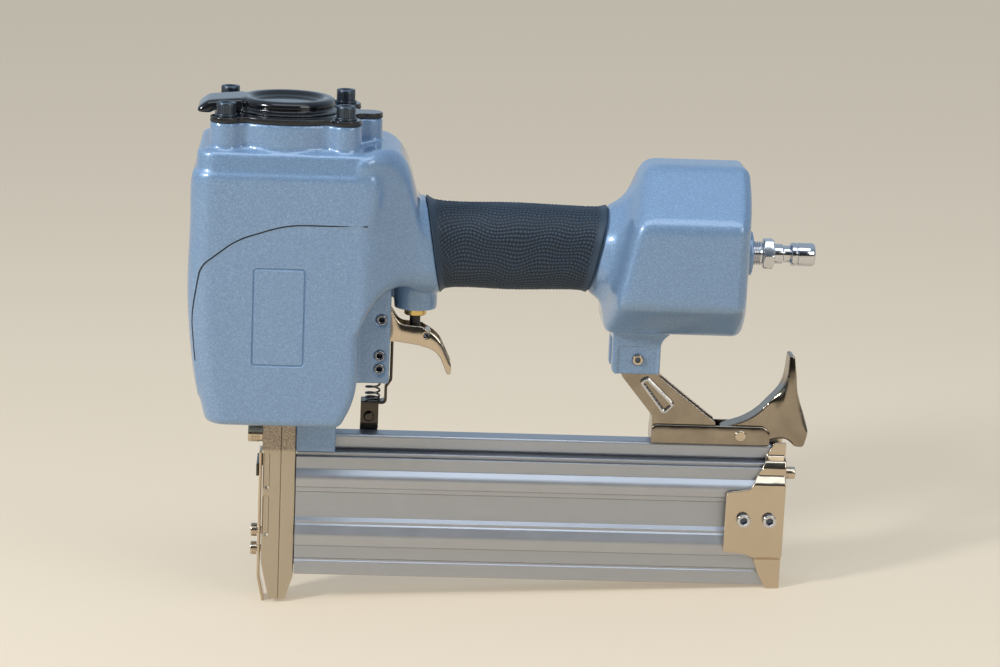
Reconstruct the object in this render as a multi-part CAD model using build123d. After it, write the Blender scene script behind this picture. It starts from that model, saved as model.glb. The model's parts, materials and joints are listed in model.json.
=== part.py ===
from build123d import *
import math
import os

# A pneumatic concrete nailer, in millimetres.
# The driver blade runs down the Z axis, the nose tip is at Z = 0 and +X points to the rear.

# Clearances and sheet
running_gap = 0.08       # radial gap of a pin or stem in its bore
press_gap = 0.03         # radial gap of a pressed pin
seat_gap = 0.1           # gap between pieces that are fastened together
sliding_gap = 0.4        # gap between pieces that slide on each other
sheet = 1.5              # pressed steel sheet
reach = 70.0             # half length of a cutter that goes right through from side to side

# Heights up the driver axis
nose_height = 85.0       # nose tip to the underside of the nose flange
flange_height = 20.5
housing_height = 135.0   # underside of the housing to its upper edge line
band_height = 11.5       # shoulder band over that line
collar_height = 14.5
gasket_thickness = 1.0
cap_thickness = 1.6
hood_height = 7.1
handle_height = 93.5     # underside of the housing to the handle's axis

housing_z = nose_height + flange_height
handle_z = housing_z + handle_height
band_z = housing_z + housing_height
shoulder_z = band_z + band_height
collar_z = shoulder_z + collar_height
cap_z = collar_z + gasket_thickness
hood_z = cap_z + cap_thickness
hood_top_z = hood_z + hood_height

# Housing
housing_stations = (
    (0.0, -39.7, 33.0), (0.07, -42.0, 37.8), (0.163, -44.8, 41.2), (0.304, -47.5, 41.4),
    (0.46, -49.2, 42.8), (0.652, -49.4, 46.4), (0.815, -48.8, 48.6), (1.0, -47.6, 48.8),
)                        # share of the housing's height, front X and rear X
housing_half_width = 42.0
housing_front_radius = 13.0
housing_rear_radius = 5.5
housing_bottom_radius = 5.0
housing_wall = 4.5
band_inset = 1.3
band_draft = 0.9
band_top_radius = 2.5
panel_step = 0.7         # depth of the lower side panel
panel_line = (
    (60.0, 109.6, 0), (2.0, 109.2, 60.0), (-24.0, 100.5, 40.0), (-42.5, 86.0, 14.0), (-46.9, 58.0, 60.0),
    (-43.0, 21.0, 0),
)                        # X, height over the housing's underside and corner radius
badge_width = 28.0
badge_height = 53.0
badge_x = -1.2
badge_rise = 59.5        # underside of the housing to the middle of the badge
badge_ridge = 1.1
badge_relief = 0.5

# Collar, cap and their screws
cap_screw_x = 31.0
cap_screw_y = 29.0
collar_radius = 38.0
lobe_radius = 8.3
rear_lobe_x = 43.4
rear_lobe_radius = 7.3
lobe_blend = 5.0
cap_edge = 0.5
cap_screw_radius = 3.0
cap_screw_head_radius = 5.0
cap_screw_head_height = 6.0
cap_screw_length = 24.0
cap_washer_radius = 5.8
cap_washer_thickness = 1.2
exhaust_holes = 6
exhaust_hole_ring = 12.0
exhaust_hole_radius = 3.0

# Exhaust hood: a roll round a dish, on a flared base, with a beak to the front
hood_radius = 25.5
hood_wall = 1.8
hood_flare = 4.0
hood_base = 0.6
hood_waist = 0.9         # how far the waist lies inside the roll
hood_waist_height = 2.2
roll_radius = 3.0
roll_inner_radius = 2.2
dish_radius = 20.0
dish_depth = 2.6
hood_boss_radius = 5.0
hood_screw_radius = 2.0
hood_screw_head_radius = 3.8
hood_screw_head_height = 2.2
beak_half_width = 14.5
beak_gap = 0.8           # between the collar and the part of the beak that hangs down
beak_length = 22.0       # beyond the roll
beak_drop = 1.5          # below the hood's seat
beak_droop = 1.7         # fall of the beak's top towards its tip
beak_lip = 2.4
beak_tuck = 0.6
beak_slope = 6.0
beak_round = 3.0
beak_edge = 2.5

# Neck, handle and grip
neck_stations = (
    (38.0, 1.0, -48.5, 52.5, 6.0), (44.0, 1.0, -35.0, 54.4, 6.5), (50.0, 4.2, -26.0, 55.4, 7.5),
    (56.0, 8.0, -21.5, 54.5, 9.0), (67.0, 14.4, -21.5, 40.0, 14.0),
)                        # X, inset from the housing's side, lowest and highest from the axis, corner radius
neck_end_x = 79.4        # on the handle's axis, where the grip starts
neck_end_lean = -9.7
neck_end_half_height = 26.0
neck_end_half_width = 22.6
neck_end_radius = 18.0
tube_half_height = 19.9
tube_half_width = 16.6
tube_corner_radius = 14.0
tube_overlap = 9.4       # how far the tube reaches into the neck
tube_length = 85.1       # from the end of the neck
air_bore_radius = 12.3
duct_radius = 24.0       # air way from the housing, narrowing to the handle's bore
grip_gap = 0.1
grip_flat = 2.0          # flat left on the grip's sides
grip_stations = (
    (0.1, -9.7, 26.5, 23.0), (4.1, -8.5, 23.8, 20.4), (15.6, -4.0, 22.7, 19.6), (42.6, 1.0, 23.1, 20.0),
    (70.6, 8.0, 22.6, 19.6), (83.6, 11.5, 22.8, 20.0), (88.0, 12.0, 24.0, 21.4),
)                        # X from the end of the neck, lean in degrees, half height, half width

# Rear tank: an octagon that swells out of the handle
tank_lean = 12.0
tank_half_width = 43.0
tank_top = 48.8          # from the handle's axis
tank_bottom = 42.8
tank_side_top = 21.5
tank_side_bottom = 22.5
tank_top_half = 13.0
tank_bottom_half = 18.0
tank_corner_radius = 8.0
tank_start = 3.1         # from the end of the handle tube
tank_swell = ((0.0, 0.0), (6.4, 0.14), (11.0, 0.53), (14.1, 0.92), (17.9, 1.0))
tank_length = 61.5       # of the full octagon
tank_rear_radius = 6.5
tank_wall = 4.0
tank_neck_half_height = 23.4
tank_neck_half_width = 20.4
neck_side_share = 0.42   # flat of the tank's neck, of its half size
spigot_length = 15.0
spigot_wall = 4.0
boss_radius = 12.3
boss_length = 4.5

# Round seals and their grooves
seal_radius = 1.2
groove_half = 1.35
groove_depth = 2.4

# Lug under the tank
lug_front = 7.5          # ahead of the full octagon
lug_length = 26.0
lug_half_width = 12.0
lug_height = 23.7        # below the tank
lug_blend = 9.5
lug_margin = 3.0
lug_recess = 0.8
lug_recess_height = 16.0
lug_slot_depth = 18.0
lug_screw_inset = 13.9
lug_screw_rise = 8.3
lug_screw_radius = 2.0
lug_screw_head_radius = 2.8
lug_screw_head_height = 1.6

# Air plug
plug_thread_radius = 6.5
plug_thread_length = 16.0
plug_bare_thread = 6.0
plug_hex_width = 15.0
plug_hex_length = 6.0
plug_waist_radius = 5.4
plug_waist_length = 5.2
plug_groove_radius = 4.6
plug_groove_length = 3.6
plug_tip_radius = 6.3
plug_tip_length = 13.4
plug_bore_radius = 3.5
plug_edge = 0.8

# Cylinder, piston and driver
bore_radius = 25.0
sleeve_wall = 4.0
sleeve_floor = 4.5       # housing floor under the sleeve
sleeve_length = 132.0
sleeve_seat_height = 10.0
stroke = 88.0
bumper_height = 25.0
bumper_bore_radius = 9.0
bumper_taper = 1.6
piston_height = 14.0
piston_gap = 0.3
piston_edge = 0.6
blade_depth = 3.0
blade_width = 7.0
blade_gap = 0.3
blade_socket = 8.0
blade_drop = 0.5         # tip of the blade over the nose's shoulder

# Head valve
head_height = 13.0
head_gap = 0.3
head_bore_radius = 8.0
head_radius = 29.0
head_recess_radius = 20.0
head_floor = 5.0
head_spring_radius = 15.5
head_spring_wire = 1.0
head_spring_turns = 4.0

# Cheeks, roll pins and trigger valve, with heights from the handle's axis
cheek_half_width = 14.0
cheek_slot_half_width = 6.8
cheek_slot_front_x = 43.4
cheek_rear_x = 58.3
cheek_root = 6.0         # how far the cheeks reach into the housing
cheek_bottom_z = handle_z - 75.0
cheek_top_z = handle_z - 16.5
cheek_slot_top_z = handle_z - 29.5
pin_radius = 2.7
pin_hole_radius = 1.6
pin_stand = 0.4          # roll pin beyond the cheek
trigger_pin_x = 53.4
trigger_pin_z = handle_z - 39.7
guide_pin_x = 52.8
guide_pins_z = (handle_z - 59.5, handle_z - 66.7)
guide_block_z = cheek_bottom_z + 0.3
guide_block_top_z = cheek_bottom_z + 19.0
valve_x = 71.5
valve_boss_radius = 11.6
valve_boss_core = 8.0
valve_boss_z = handle_z - 35.2
valve_boss_top_z = handle_z - 21.5
valve_room_radius = 4.7
valve_cap_height = 2.0
bushing_radius = 6.0
bushing_drop = 3.9       # brass below the boss
bushing_length = 21.0
bushing_edge = 0.5
stem_radius = 2.9
stem_drop = 6.5          # stem below the brass
stem_top = 1.6           # stem over the brass
stem_collar_z = valve_boss_z + 5.5
stem_collar_height = 1.4
stem_collar_radius = 4.4
valve_spring_wire = 0.35
valve_spring_turns = 4.0

# Trigger and idler, from the trigger pin
trigger_half_width = 6.2
trigger_wall = 1.2
trigger_outline = (
    (-4.5, -2.8, 4), (-3.6, 5.6, 4), (4.1, 5.2, 3), (10.1, -3.8, 6), (22.1, -4.8, 8), (31.1, -10.3, 14),
    (38.5, -25.8, 6), (38.1, -31.2, 0.8), (36.2, -31.2, 0.8), (30.8, -18.3, 12), (20.6, -15.4, 14),
    (8.6, -13.6, 10), (-2.4, -14.2, 3),
)                        # along, up and corner radius
trigger_web = 8.6        # where the finger web starts
idler_pin_x = trigger_pin_x + 24.4
idler_pin_z = trigger_pin_z - 9.6
idler_pin_radius = 1.5
idler_pin_inset = 0.6    # pin inside the trigger's side
idler_boss_radius = 2.7
idler_half_width = 4.5
idler_thickness = 1.6

# Nose
nose_half_width = 9.0
nose_flange_half_width = 14.0
nose_split_x = 1.5
nose_front_x = -8.2
nose_rear_x = 9.5
nose_tip_front_x = -3.6
nose_tip_rear_x = 5.2
nose_taper_front = 21.0
nose_taper_rear = 13.0
nose_edge = 0.8
flange_front_x = -8.5
flange_rear_x = 9.2
foot_rear_x = 30.7
pocket_width = 3.2
pocket_depth = 1.4
pocket_margin = 0.5
pocket_drops = ((2.3, 22.5), (26.3, 49.3))   # top and bottom below the flange
nose_screw_y = 8.5
nose_screw_z = nose_height + 8.5
nose_screw_radius = 3.0
nose_screw_head_radius = 4.7
nose_screw_head_height = 6.0
nose_screw_length = 32.0
nose_screw_end = 4.0     # housing foot left behind the screws
nose_washer_radius = 4.4
nose_washer_thickness = 2.0

# Contact safety
strip_drop = 2.5         # how far the strip stands below the nose, and can be pressed in
strip_gap = 0.6
strip_half_width = 6.0
strip_top_z = nose_height - 2.5
strip_bend_z = 11.5
strip_bend_radius = 6.0
strip_tip_x = -6.3
strip_screws_z = (nose_height - 48.5, nose_height - 59.0)
strip_screw_radius = 2.0
strip_screw_depth = 5.0
strip_screw_head_radius = 3.6
strip_screw_head_height = 3.4
link_y = 15.7            # middle of the link on the far side
link_bar_z = nose_height - 16.5
link_bar_height = 7.0
link_front_x = 43.8
link_rear_x = 53.6
link_shelf_z = nose_height + 8.5
link_tab_y = 7.35        # middle of the upper tab
link_screw_x = 48.4
link_screw_z = link_shelf_z + 7.4
link_screw_radius = 1.5
link_screw_head_radius = 2.9
link_screw_head = 1.8
seat_z = cheek_bottom_z - 13.9
arm_foot_x = 57.0
arm_wall_x = 59.65
arm_top_z = trigger_pin_z - 12.5
arm_half_width = 4.0
arm_jog = 10.0           # height of the arm's jog over its seat
arm_jog_rise = 4.0
arm_bend = 2.0
safety_spring_x = 50.0
safety_spring_radius = 3.7
safety_spring_wire = 0.55
safety_spring_turns = 4.5

# Magazine
magazine_front_x = 9.9
magazine_length = 264.9
magazine_top_z = nose_height - 0.5
magazine_profile = (
    (10.8, 0.0, 0.5), (10.8, 1.0, 0.3), (9.6, 1.2, 0.2), (9.6, 2.2, 0.2), (11.5, 2.6, 0.5), (11.5, 9.4, 1.0),
    (14.7, 13.6, 4.5), (13.1, 19.2, 0.5), (11.6, 19.8, 0.4), (11.2, 22.2, 0.4), (10.4, 22.8, 0.3),
    (10.4, 36.8, 0.3), (12.6, 38.6, 0.5), (12.2, 40.0, 0.3), (13.0, 40.8, 0.4), (14.8, 46.4, 5.0),
    (13.0, 52.2, 0.5), (12.0, 52.8, 0.3), (12.0, 59.4, 0.4), (11.2, 60.2, 0.2), (11.2, 61.0, 0.2),
    (11.7, 61.6, 0.4), (11.7, 68.4, 0.8), (10.8, 69.4, 0.5),
)                        # half width, drop from the top and corner radius
magazine_roof = 1.8
nail_room_half_width = 3.8
nail_slot_half_width = 1.5
nail_length = 64.0
nail_drop = 66.5         # nail tips below the magazine's top
chamber_y = 5.4          # inner wall of the hollow chambers in the side walls
chambers = ((17.5, 4.5, 9.8), (35.0, 25.0, 8.8), (66.5, 55.5, 10.0))   # lowest and highest drop, outer wall
rail_half_width = 6.0
rail_gap = 2.0           # between magazine and rail
rail_height = 7.0
rail_wall = 1.3
rail_lip = 1.2
rail_roof = 1.8
rail_edge = 1.6
rail_slot_half_width = 3.0
rail_end = 6.8           # rail shorter than the magazine
guide_thickness = 1.9
guide_inset = 0.1
guide_drop = 6.0         # guides below the magazine's top
guide_end = 12.8         # guides shorter than the magazine
spring_bore_y = 9.2
spring_bore_drop = 45.6
spring_bore_radius = 3.4
pusher_front = 2.0       # pusher behind the magazine's front
pusher_length = 24.0
pusher_gap = 0.3
ear_thickness = 2.2
ear_length = 6.0
pusher_spring_wire = 0.4
pusher_spring_turns = 24.0

# Tail bracket, with drops from the magazine's top
tail_sheet = 1.4
tail_length = 32.5
tail_top = 11.0          # over the magazine's top
tail_foot = 70.4
tail_path = (
    (7.3, -tail_top), (7.3, -2.9), (12.2, -1.0), (13.6, 2.7), (12.4, 6.1), (15.75, 10.8), (15.75, 51.0),
    (12.9, 54.2), (12.9, tail_foot),
)                        # half width and drop of the middle of the sheet
tail_path_radii = (1.4, 1.4, 3.0, 1.2, 2.0, 1.2, 1.2)
tail_side = (
    (tail_length, 49.4, 1.5), (tail_length, 15.4, 2.5), (19.2, 13.4, 4), (6.7, -tail_top, 1.5),
    (0, -tail_top, 0), (0, tail_foot, 0), (7.7, tail_foot, 1), (12.2, 62.5, 6), (15.6, 53.5, 3),
    (20.2, 50.4, 3),
)                        # distance ahead of the rear face, drop and corner radius
tail_catch = 5.0         # rear wall over the magazine's top, under the latch
tail_screws_inset = (22.5, 8.3)   # ahead of the rear face
tail_screw_drop = 30.7
tail_screw_radius = 2.0
tail_screw_head_radius = 3.7
tail_screw_head_height = 3.2
stop_screw_drop = 8.0
stop_screw_radius = 3.4
stop_screw_length = 6.8

# Support arm and latch
arm_half = 6.4
arm_sheet = 1.6
arm_top_inset = 6.0      # behind the front of the lug
arm_top_length = 20.8
arm_shoulder = 2.0       # corner of the arm below the lug
arm_front_rise = 15.0    # corner of the arm over the rail
arm_rear_rise = 15.0
arm_rear_fall = 12.2
arm_rear_x = 237.0
arm_rear_bend = 4.0      # from the arm's end to its upper corner
arm_slot_height = 3.0
emboss_height = 0.7
emboss_width = 1.4
emboss_outline = ((10.0, 33.9, 2.0), (14.4, 36.4, 1.5), (30.0, 21.4, 2.0), (24.2, 15.6, 2.0))
bracket_wall = 1.4
bracket_base = 1.2
bracket_height = 10.5
bracket_front_x = 202.0
bracket_rear = 16.1      # behind the latch pin
latch_inset = 25.6       # latch pin ahead of the tail's rear face
latch_rise = 5.3         # latch pin over the rail
latch_pin_radius = 2.4
latch_pin_head_radius = 3.2
latch_pin_head = 1.2
latch_half = 6.0
latch_sheet = 1.2
latch_outline = (
    (24.7, 45.3, 0.8), (27.5, 44.9, 1.2), (30.3, 25.7, 30), (36.9, 5.2, 8), (35.1, -6.9, 4), (28.3, -6.9, 1.5),
    (25.9, -2.5, 3), (17.3, -2.7, 3), (5.3, -2.1, 3), (0, -3.8, 4), (-10.9, 1.5, 1), (-10.9, 3.7, 0.5),
    (7.3, 9.7, 34), (23.7, 29.2, 22),
)                        # along and up from the latch pin, and corner radius
latch_open = 5.0         # the latch is open below from here back
latch_open_height = 3.3
latch_coil_radius = 3.3
latch_coil_wire = 0.4
latch_coil_turns = 5.0
latch_coil_margin = 1.0

# Screw heads and springs
head_edge = 0.4          # broken edge of a screw head
socket_share = 0.55      # hex socket, of the head's radius and height
round_share = 0.7        # rounding of a domed head, of its height
spring_end_gap = 0.5     # between the closed turns at a spring's ends

# Places that follow from the sizes
sleeve_radius = bore_radius + sleeve_wall
sleeve_bottom_z = housing_z + sleeve_floor
sleeve_top_z = sleeve_bottom_z + sleeve_length
piston_z = sleeve_bottom_z + bumper_height + stroke + sliding_gap
head_z = sleeve_top_z + head_gap
dish_z = hood_top_z - dish_depth
tube_end_x = neck_end_x + tube_length
tank_front_x = tube_end_x + tank_start
tank_full_x = tank_front_x + tank_swell[-1][0]
tank_rear_x = tank_full_x + tank_length
tank_bottom_z = handle_z - tank_bottom
seal_x = tube_end_x - spigot_length / 2
boss_end_x = tank_rear_x + boss_length
spigot_radius = air_bore_radius - seat_gap
lug_front_x = tank_full_x - lug_front
lug_rear_x = lug_front_x + lug_length
lug_bottom_z = tank_bottom_z - lug_height
lug_screw_x = lug_front_x + lug_screw_inset
lug_screw_z = lug_bottom_z + lug_screw_rise
bushing_z = valve_boss_z - bushing_drop
bushing_top_z = bushing_z + bushing_length
strip_x = nose_front_x - strip_gap - sheet / 2
magazine_rear_x = magazine_front_x + magazine_length
nail_bottom_z = magazine_top_z - nail_drop
nail_top_z = nail_bottom_z + nail_length
guide_top_z = magazine_top_z - guide_drop
guide_rear_x = magazine_rear_x - guide_end
rail_bottom_z = magazine_top_z + rail_gap
rail_top_z = rail_bottom_z + rail_height
rail_rear_x = magazine_rear_x - rail_end
spring_bore_z = magazine_top_z - spring_bore_drop
pusher_front_x = magazine_front_x + pusher_front
pusher_rear_x = pusher_front_x + pusher_length
tail_rear_x = magazine_rear_x + seat_gap + tail_sheet
tail_screw_z = magazine_top_z - tail_screw_drop
tail_screws_x = [tail_rear_x - inset for inset in tail_screws_inset]
stop_screw_z = magazine_top_z - stop_screw_drop
arm_top_front_x = lug_front_x + arm_top_inset
arm_top_rear_x = arm_top_front_x + arm_top_length
arm_base_z = rail_top_z + bracket_base
bracket_half = arm_half + seat_gap + bracket_wall
bracket_top_z = rail_top_z + bracket_height
latch_x = tail_rear_x - latch_inset
latch_z = rail_top_z + latch_rise
bracket_rear_x = latch_x + bracket_rear


BASE = (Align.CENTER, Align.CENTER, Align.MIN)


# Shapes that several pieces use

def block(x_low, x_high, y_low, y_high, z_low, z_high):
    centre = ((x_low + x_high) / 2, (y_low + y_high) / 2, (z_low + z_high) / 2)
    return Pos(*centre) * Box(x_high - x_low, y_high - y_low, z_high - z_low)


def rod(start, axis, length, radius):
    return extrude(Plane(origin=start, z_dir=axis) * Circle(radius), amount=length)


def rod_x(x_low, x_high, y, z, radius):
    return rod((x_low, y, z), (1, 0, 0), x_high - x_low, radius)


def rod_y(y_low, y_high, x, z, radius):
    return rod((x, y_low, z), (0, 1, 0), y_high - y_low, radius)


def rod_z(z_low, z_high, x, y, radius):
    return rod((x, y, z_low), (0, 0, 1), z_high - z_low, radius)


def cross_hole(x, z, radius):
    """A cutter that goes right through from side to side."""
    return rod_y(-reach, reach, x, z, radius)


def groove(centre, axis, outer_radius, floor_radius):
    """A cutter for the groove of a round seal, about its middle."""
    start = Vector(centre) - Vector(axis) * groove_half
    ring = rod(start, axis, 2 * groove_half, outer_radius + 1)
    return ring - rod(start, axis, 2 * groove_half, floor_radius)


def ring_seal(centre, axis, outer_radius):
    return Plane(origin=centre, z_dir=axis) * Torus(outer_radius - seal_radius, seal_radius)


def outline(points):
    """A closed outline from (a, b, corner radius) points."""
    corners = [(a, b) for a, b, _ in points]
    radii = [radius for _, _, radius in points]
    return make_face(FilletPolyline(*corners, radius=radii, close=True))


def shifted(points, x, z, rise=1):
    """Outline points that are given from a place; rise is -1 for drops."""
    return [(x + along, z + rise * up, radius) for along, up, radius in points]


def strip(points, radii, thickness):
    """A strip of even thickness along a line with rounded corners."""
    return trace(FilletPolyline(*points, radius=radii), line_width=thickness)


def plate_xz(face, y_low, y_high):
    return extrude(Plane.XZ.offset(-y_high) * face, amount=y_high - y_low)


def plate_yz(face, x_low, x_high):
    return extrude(Plane.YZ.offset(x_low) * face, amount=x_high - x_low)


def plate_xy(face, z_low, z_high):
    return extrude(Plane.XY.offset(z_low) * face, amount=z_high - z_low)


def mirrored(piece):
    return piece + mirror(piece, about=Plane.XZ)


def socket_screw(seat, axis, shank_radius, length, head_radius, head_height):
    """A cap screw whose head sits on the seat and whose shank runs along the axis."""
    plane = Plane(origin=seat, z_dir=axis)
    head = extrude(plane * Circle(head_radius), amount=-head_height)
    head = chamfer(head.edges(), head_edge)
    shank = extrude(plane * Circle(shank_radius), amount=length)
    hexagon = plane.offset(-head_height) * RegularPolygon(head_radius * socket_share, 6)
    return head + shank - extrude(hexagon, amount=head_height * socket_share)


def domed_head(seat, axis, radius, height):
    """A round head on the seat, its far edge rounded."""
    head = rod(seat, axis, height, radius)
    return fillet(head.edges().sort_by(Axis((0, 0, 0), axis))[-1], height * round_share)


def spring(name, centre, axis, side, length, radius, wire, turns):
    """A compression spring from centre along axis, its end turns closer than its middle ones."""
    axis = Vector(axis)
    side = Vector(side)
    across = axis.cross(side)
    rise = length - 2 * wire
    end_pitch = 2 * wire + spring_end_gap
    bunch = max(0.0, (rise / turns - end_pitch) * turns / (2 * math.pi))

    def point(turn):
        angle = 2 * math.pi * turn
        height = wire + rise * turn / turns - bunch * math.sin(2 * math.pi * turn / turns)
        around = side * (radius * math.cos(angle)) + across * (radius * math.sin(angle))
        return Vector(centre) + around + axis * height

    def heading(turn):
        angle = 2 * math.pi * turn
        climb = rise / turns - bunch * 2 * math.pi / turns * math.cos(2 * math.pi * turn / turns)
        around = across * math.cos(angle) - side * math.sin(angle)
        return (around * (2 * math.pi * radius) + axis * climb).normalized()

    stops = [count / 4 for count in range(int(turns * 4) + 1)]
    edges = []
    for first, last in zip(stops, stops[1:]):
        edges += biarc(point(first), heading(first), point(last), heading(last))
    section = Plane(origin=point(0), z_dir=heading(0)) * Circle(wire)
    print(name, "least gap to itself", round(least_gap(point, turns, wire), 2), "mm")
    return sweep(section, path=Wire(edges))


def biarc(start, start_heading, end, end_heading):
    """Two arcs that leave start and reach end along the given headings."""
    chord = end - start
    a = 2 * (1 - start_heading.dot(end_heading))
    b = 2 * chord.dot(start_heading + end_heading)
    reach = (-b + math.sqrt(b * b + 4 * a * chord.dot(chord))) / (2 * a)
    middle = (start + end + (start_heading - end_heading) * reach) * 0.5
    first = Edge.make_tangent_arc(start, start_heading, middle)
    last = Edge.make_tangent_arc(end, end_heading * -1, middle)
    return [first, last]


def least_gap(point, turns, wire):
    """The least distance between neighbouring turns, less the wire."""
    steps = 48
    places = [point(count / steps) for count in range(int(turns * steps) + 1)]
    gaps = [
        (places[low] - places[high]).length
        for low in range(len(places))
        for high in range(low + steps // 2, min(len(places), low + 2 * steps))
    ]
    return min(gaps) - 2 * wire


# Housing, tank and grip

def housing_section(share, front, rear, inset):
    half = housing_half_width - inset
    front_radius = housing_front_radius - inset
    rear_radius = housing_rear_radius - inset
    face = outline((
        (front + inset, -half, front_radius), (rear - inset, -half, rear_radius),
        (rear - inset, half, rear_radius), (front + inset, half, front_radius),
    ))
    return Plane.XY.offset(housing_z + share * housing_height) * face


def housing_form(inset):
    return loft([housing_section(*station, inset) for station in housing_stations])


def lean_plane(x, lean):
    """A plane across the handle's axis whose upper side leans to the rear."""
    turn = math.radians(lean)
    return Plane(origin=(x, 0, handle_z), x_dir=(0, 1, 0), z_dir=(math.cos(turn), 0, -math.sin(turn)))


def handle_section(x, lean, half_height, half_width, corner_radius):
    return lean_plane(x, lean) * RectangleRounded(2 * half_width, 2 * half_height, corner_radius)


def neck_section(x, inset, lowest, highest, corner_radius):
    width = 2 * (housing_half_width - inset)
    plane = Plane(origin=(x, 0, handle_z + (lowest + highest) / 2), x_dir=(0, 1, 0), z_dir=(1, 0, 0))
    return plane * RectangleRounded(width, highest - lowest, corner_radius)


def neck():
    sections = [neck_section(*station) for station in neck_stations]
    end_size = (neck_end_half_height, neck_end_half_width, neck_end_radius)
    return loft(sections + [handle_section(neck_end_x, neck_end_lean, *end_size)])


def handle_tube(gap, start_x, start_lean, end_x, end_lean):
    size = (tube_half_height + gap, tube_half_width + gap, tube_corner_radius + gap)
    start = handle_section(start_x, start_lean, *size)
    end = handle_section(end_x, end_lean, *size)
    return loft([start, end], ruled=True)


def cap_screw_places():
    return [(x, y) for x in (-cap_screw_x, cap_screw_x) for y in (-cap_screw_y, cap_screw_y)]


def lobed_outline():
    shape = Circle(collar_radius)
    for place in cap_screw_places():
        shape += Pos(*place) * Circle(lobe_radius)
    shape += Pos(rear_lobe_x, 0) * Circle(rear_lobe_radius)
    return fillet(shape.vertices(), lobe_blend)


def roll_pin_places():
    return [(trigger_pin_x, trigger_pin_z)] + [(guide_pin_x, z) for z in guide_pins_z]


def blade_room(z_low, z_high):
    half_depth = blade_depth / 2 + blade_gap
    half_width = blade_width / 2 + blade_gap
    return block(-half_depth, half_depth, -half_width, half_width, z_low, z_high)


def housing_outside():
    form = housing_form(0)
    form = fillet(form.faces().sort_by(Axis.Z)[0].edges(), housing_bottom_radius)
    form = fillet(form.faces().sort_by(Axis.Z)[-1].edges(), band_inset)
    panel = housing_form(panel_step)
    panel_radius = housing_bottom_radius - panel_step - seat_gap
    panel = fillet(panel.faces().sort_by(Axis.Z)[0].edges(), panel_radius)
    below = ((panel_line[-1][0], -housing_bottom_radius, 0), (panel_line[0][0], -housing_bottom_radius, 0))
    lower = plate_xz(outline(shifted((*panel_line, *below), 0, housing_z)), -reach, reach)
    form = (form - lower) + (panel & lower)

    _, front, rear = housing_stations[-1]
    band_low = housing_section(1, front, rear, band_inset)
    band_high = Pos(0, 0, band_height) * housing_section(1, front, rear, band_inset + band_draft)
    band = loft([band_low, band_high], ruled=True)
    band = fillet(band.faces().sort_by(Axis.Z)[-1].edges(), band_top_radius)

    badge = RectangleRounded(badge_width, badge_height, badge_ridge)
    badge -= RectangleRounded(badge_width - 2 * badge_ridge, badge_height - 2 * badge_ridge, badge_ridge / 2)
    face_y = panel_step - housing_half_width
    place = Pos(badge_x, housing_z + badge_rise)
    return form + band + plate_xz(place * badge, face_y - badge_relief, face_y + badge_relief)


def body_casting():
    casting = housing_outside() + neck()
    casting += handle_tube(0, neck_end_x - tube_overlap, 0, tube_end_x, tank_lean)
    casting += plate_xy(lobed_outline(), band_z + band_inset, collar_z)
    cheek_front = housing_stations[2][2] - cheek_root
    half = cheek_half_width
    casting += block(cheek_front, cheek_rear_x, -half, half, cheek_bottom_z, cheek_top_z)
    casting += rod_z(valve_boss_z, valve_boss_top_z, valve_x, 0, valve_boss_radius)
    casting += rod_z(valve_boss_z, handle_z, valve_x, 0, valve_boss_core)
    half = nose_flange_half_width
    foot_top = housing_z + housing_bottom_radius
    casting += block(flange_rear_x, foot_rear_x, -half, half, nose_height, foot_top)

    # Cylinder chamber, seat of the sleeve, slot of the blade and bore of the head valve
    chamber_z = sleeve_bottom_z + sleeve_seat_height
    casting -= housing_form(housing_wall) & block(-reach, reach, -reach, reach, chamber_z, band_z)
    casting -= rod_z(sleeve_bottom_z, chamber_z, 0, 0, sleeve_radius + seat_gap)
    casting -= rod_z(chamber_z, collar_z, 0, 0, head_radius + head_gap)
    casting -= blade_room(housing_z - 1, sleeve_bottom_z + 1)

    # Air way through the handle, and the bore of the trigger valve
    duct_x = neck_stations[0][0]
    casting -= rod_x(duct_x, tube_end_x + spigot_length, 0, handle_z, air_bore_radius)
    duct = Cone(duct_radius, air_bore_radius, neck_stations[-1][0] - duct_x, align=BASE)
    casting -= Plane(origin=(duct_x, 0, handle_z), z_dir=(1, 0, 0)) * duct
    casting -= rod_z(valve_boss_z - 1, handle_z, valve_x, 0, bushing_radius + seat_gap)

    # Trigger slot and the holes of pins and screws
    half = cheek_slot_half_width
    slot_bottom = cheek_bottom_z - 1
    casting -= block(cheek_slot_front_x, cheek_rear_x + 1, -half, half, slot_bottom, cheek_slot_top_z)
    for x, z in roll_pin_places():
        casting -= cross_hole(x, z, pin_radius + press_gap)
    for x, y in cap_screw_places():
        casting -= rod_z(hood_z - cap_screw_length, collar_z + 1, x, y, cap_screw_radius + seat_gap)
    for y in (-nose_screw_y, nose_screw_y):
        hole_end = foot_rear_x - nose_screw_end
        casting -= rod_x(flange_rear_x - 1, hole_end, y, nose_screw_z, nose_screw_radius + seat_gap)
    return casting


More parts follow.
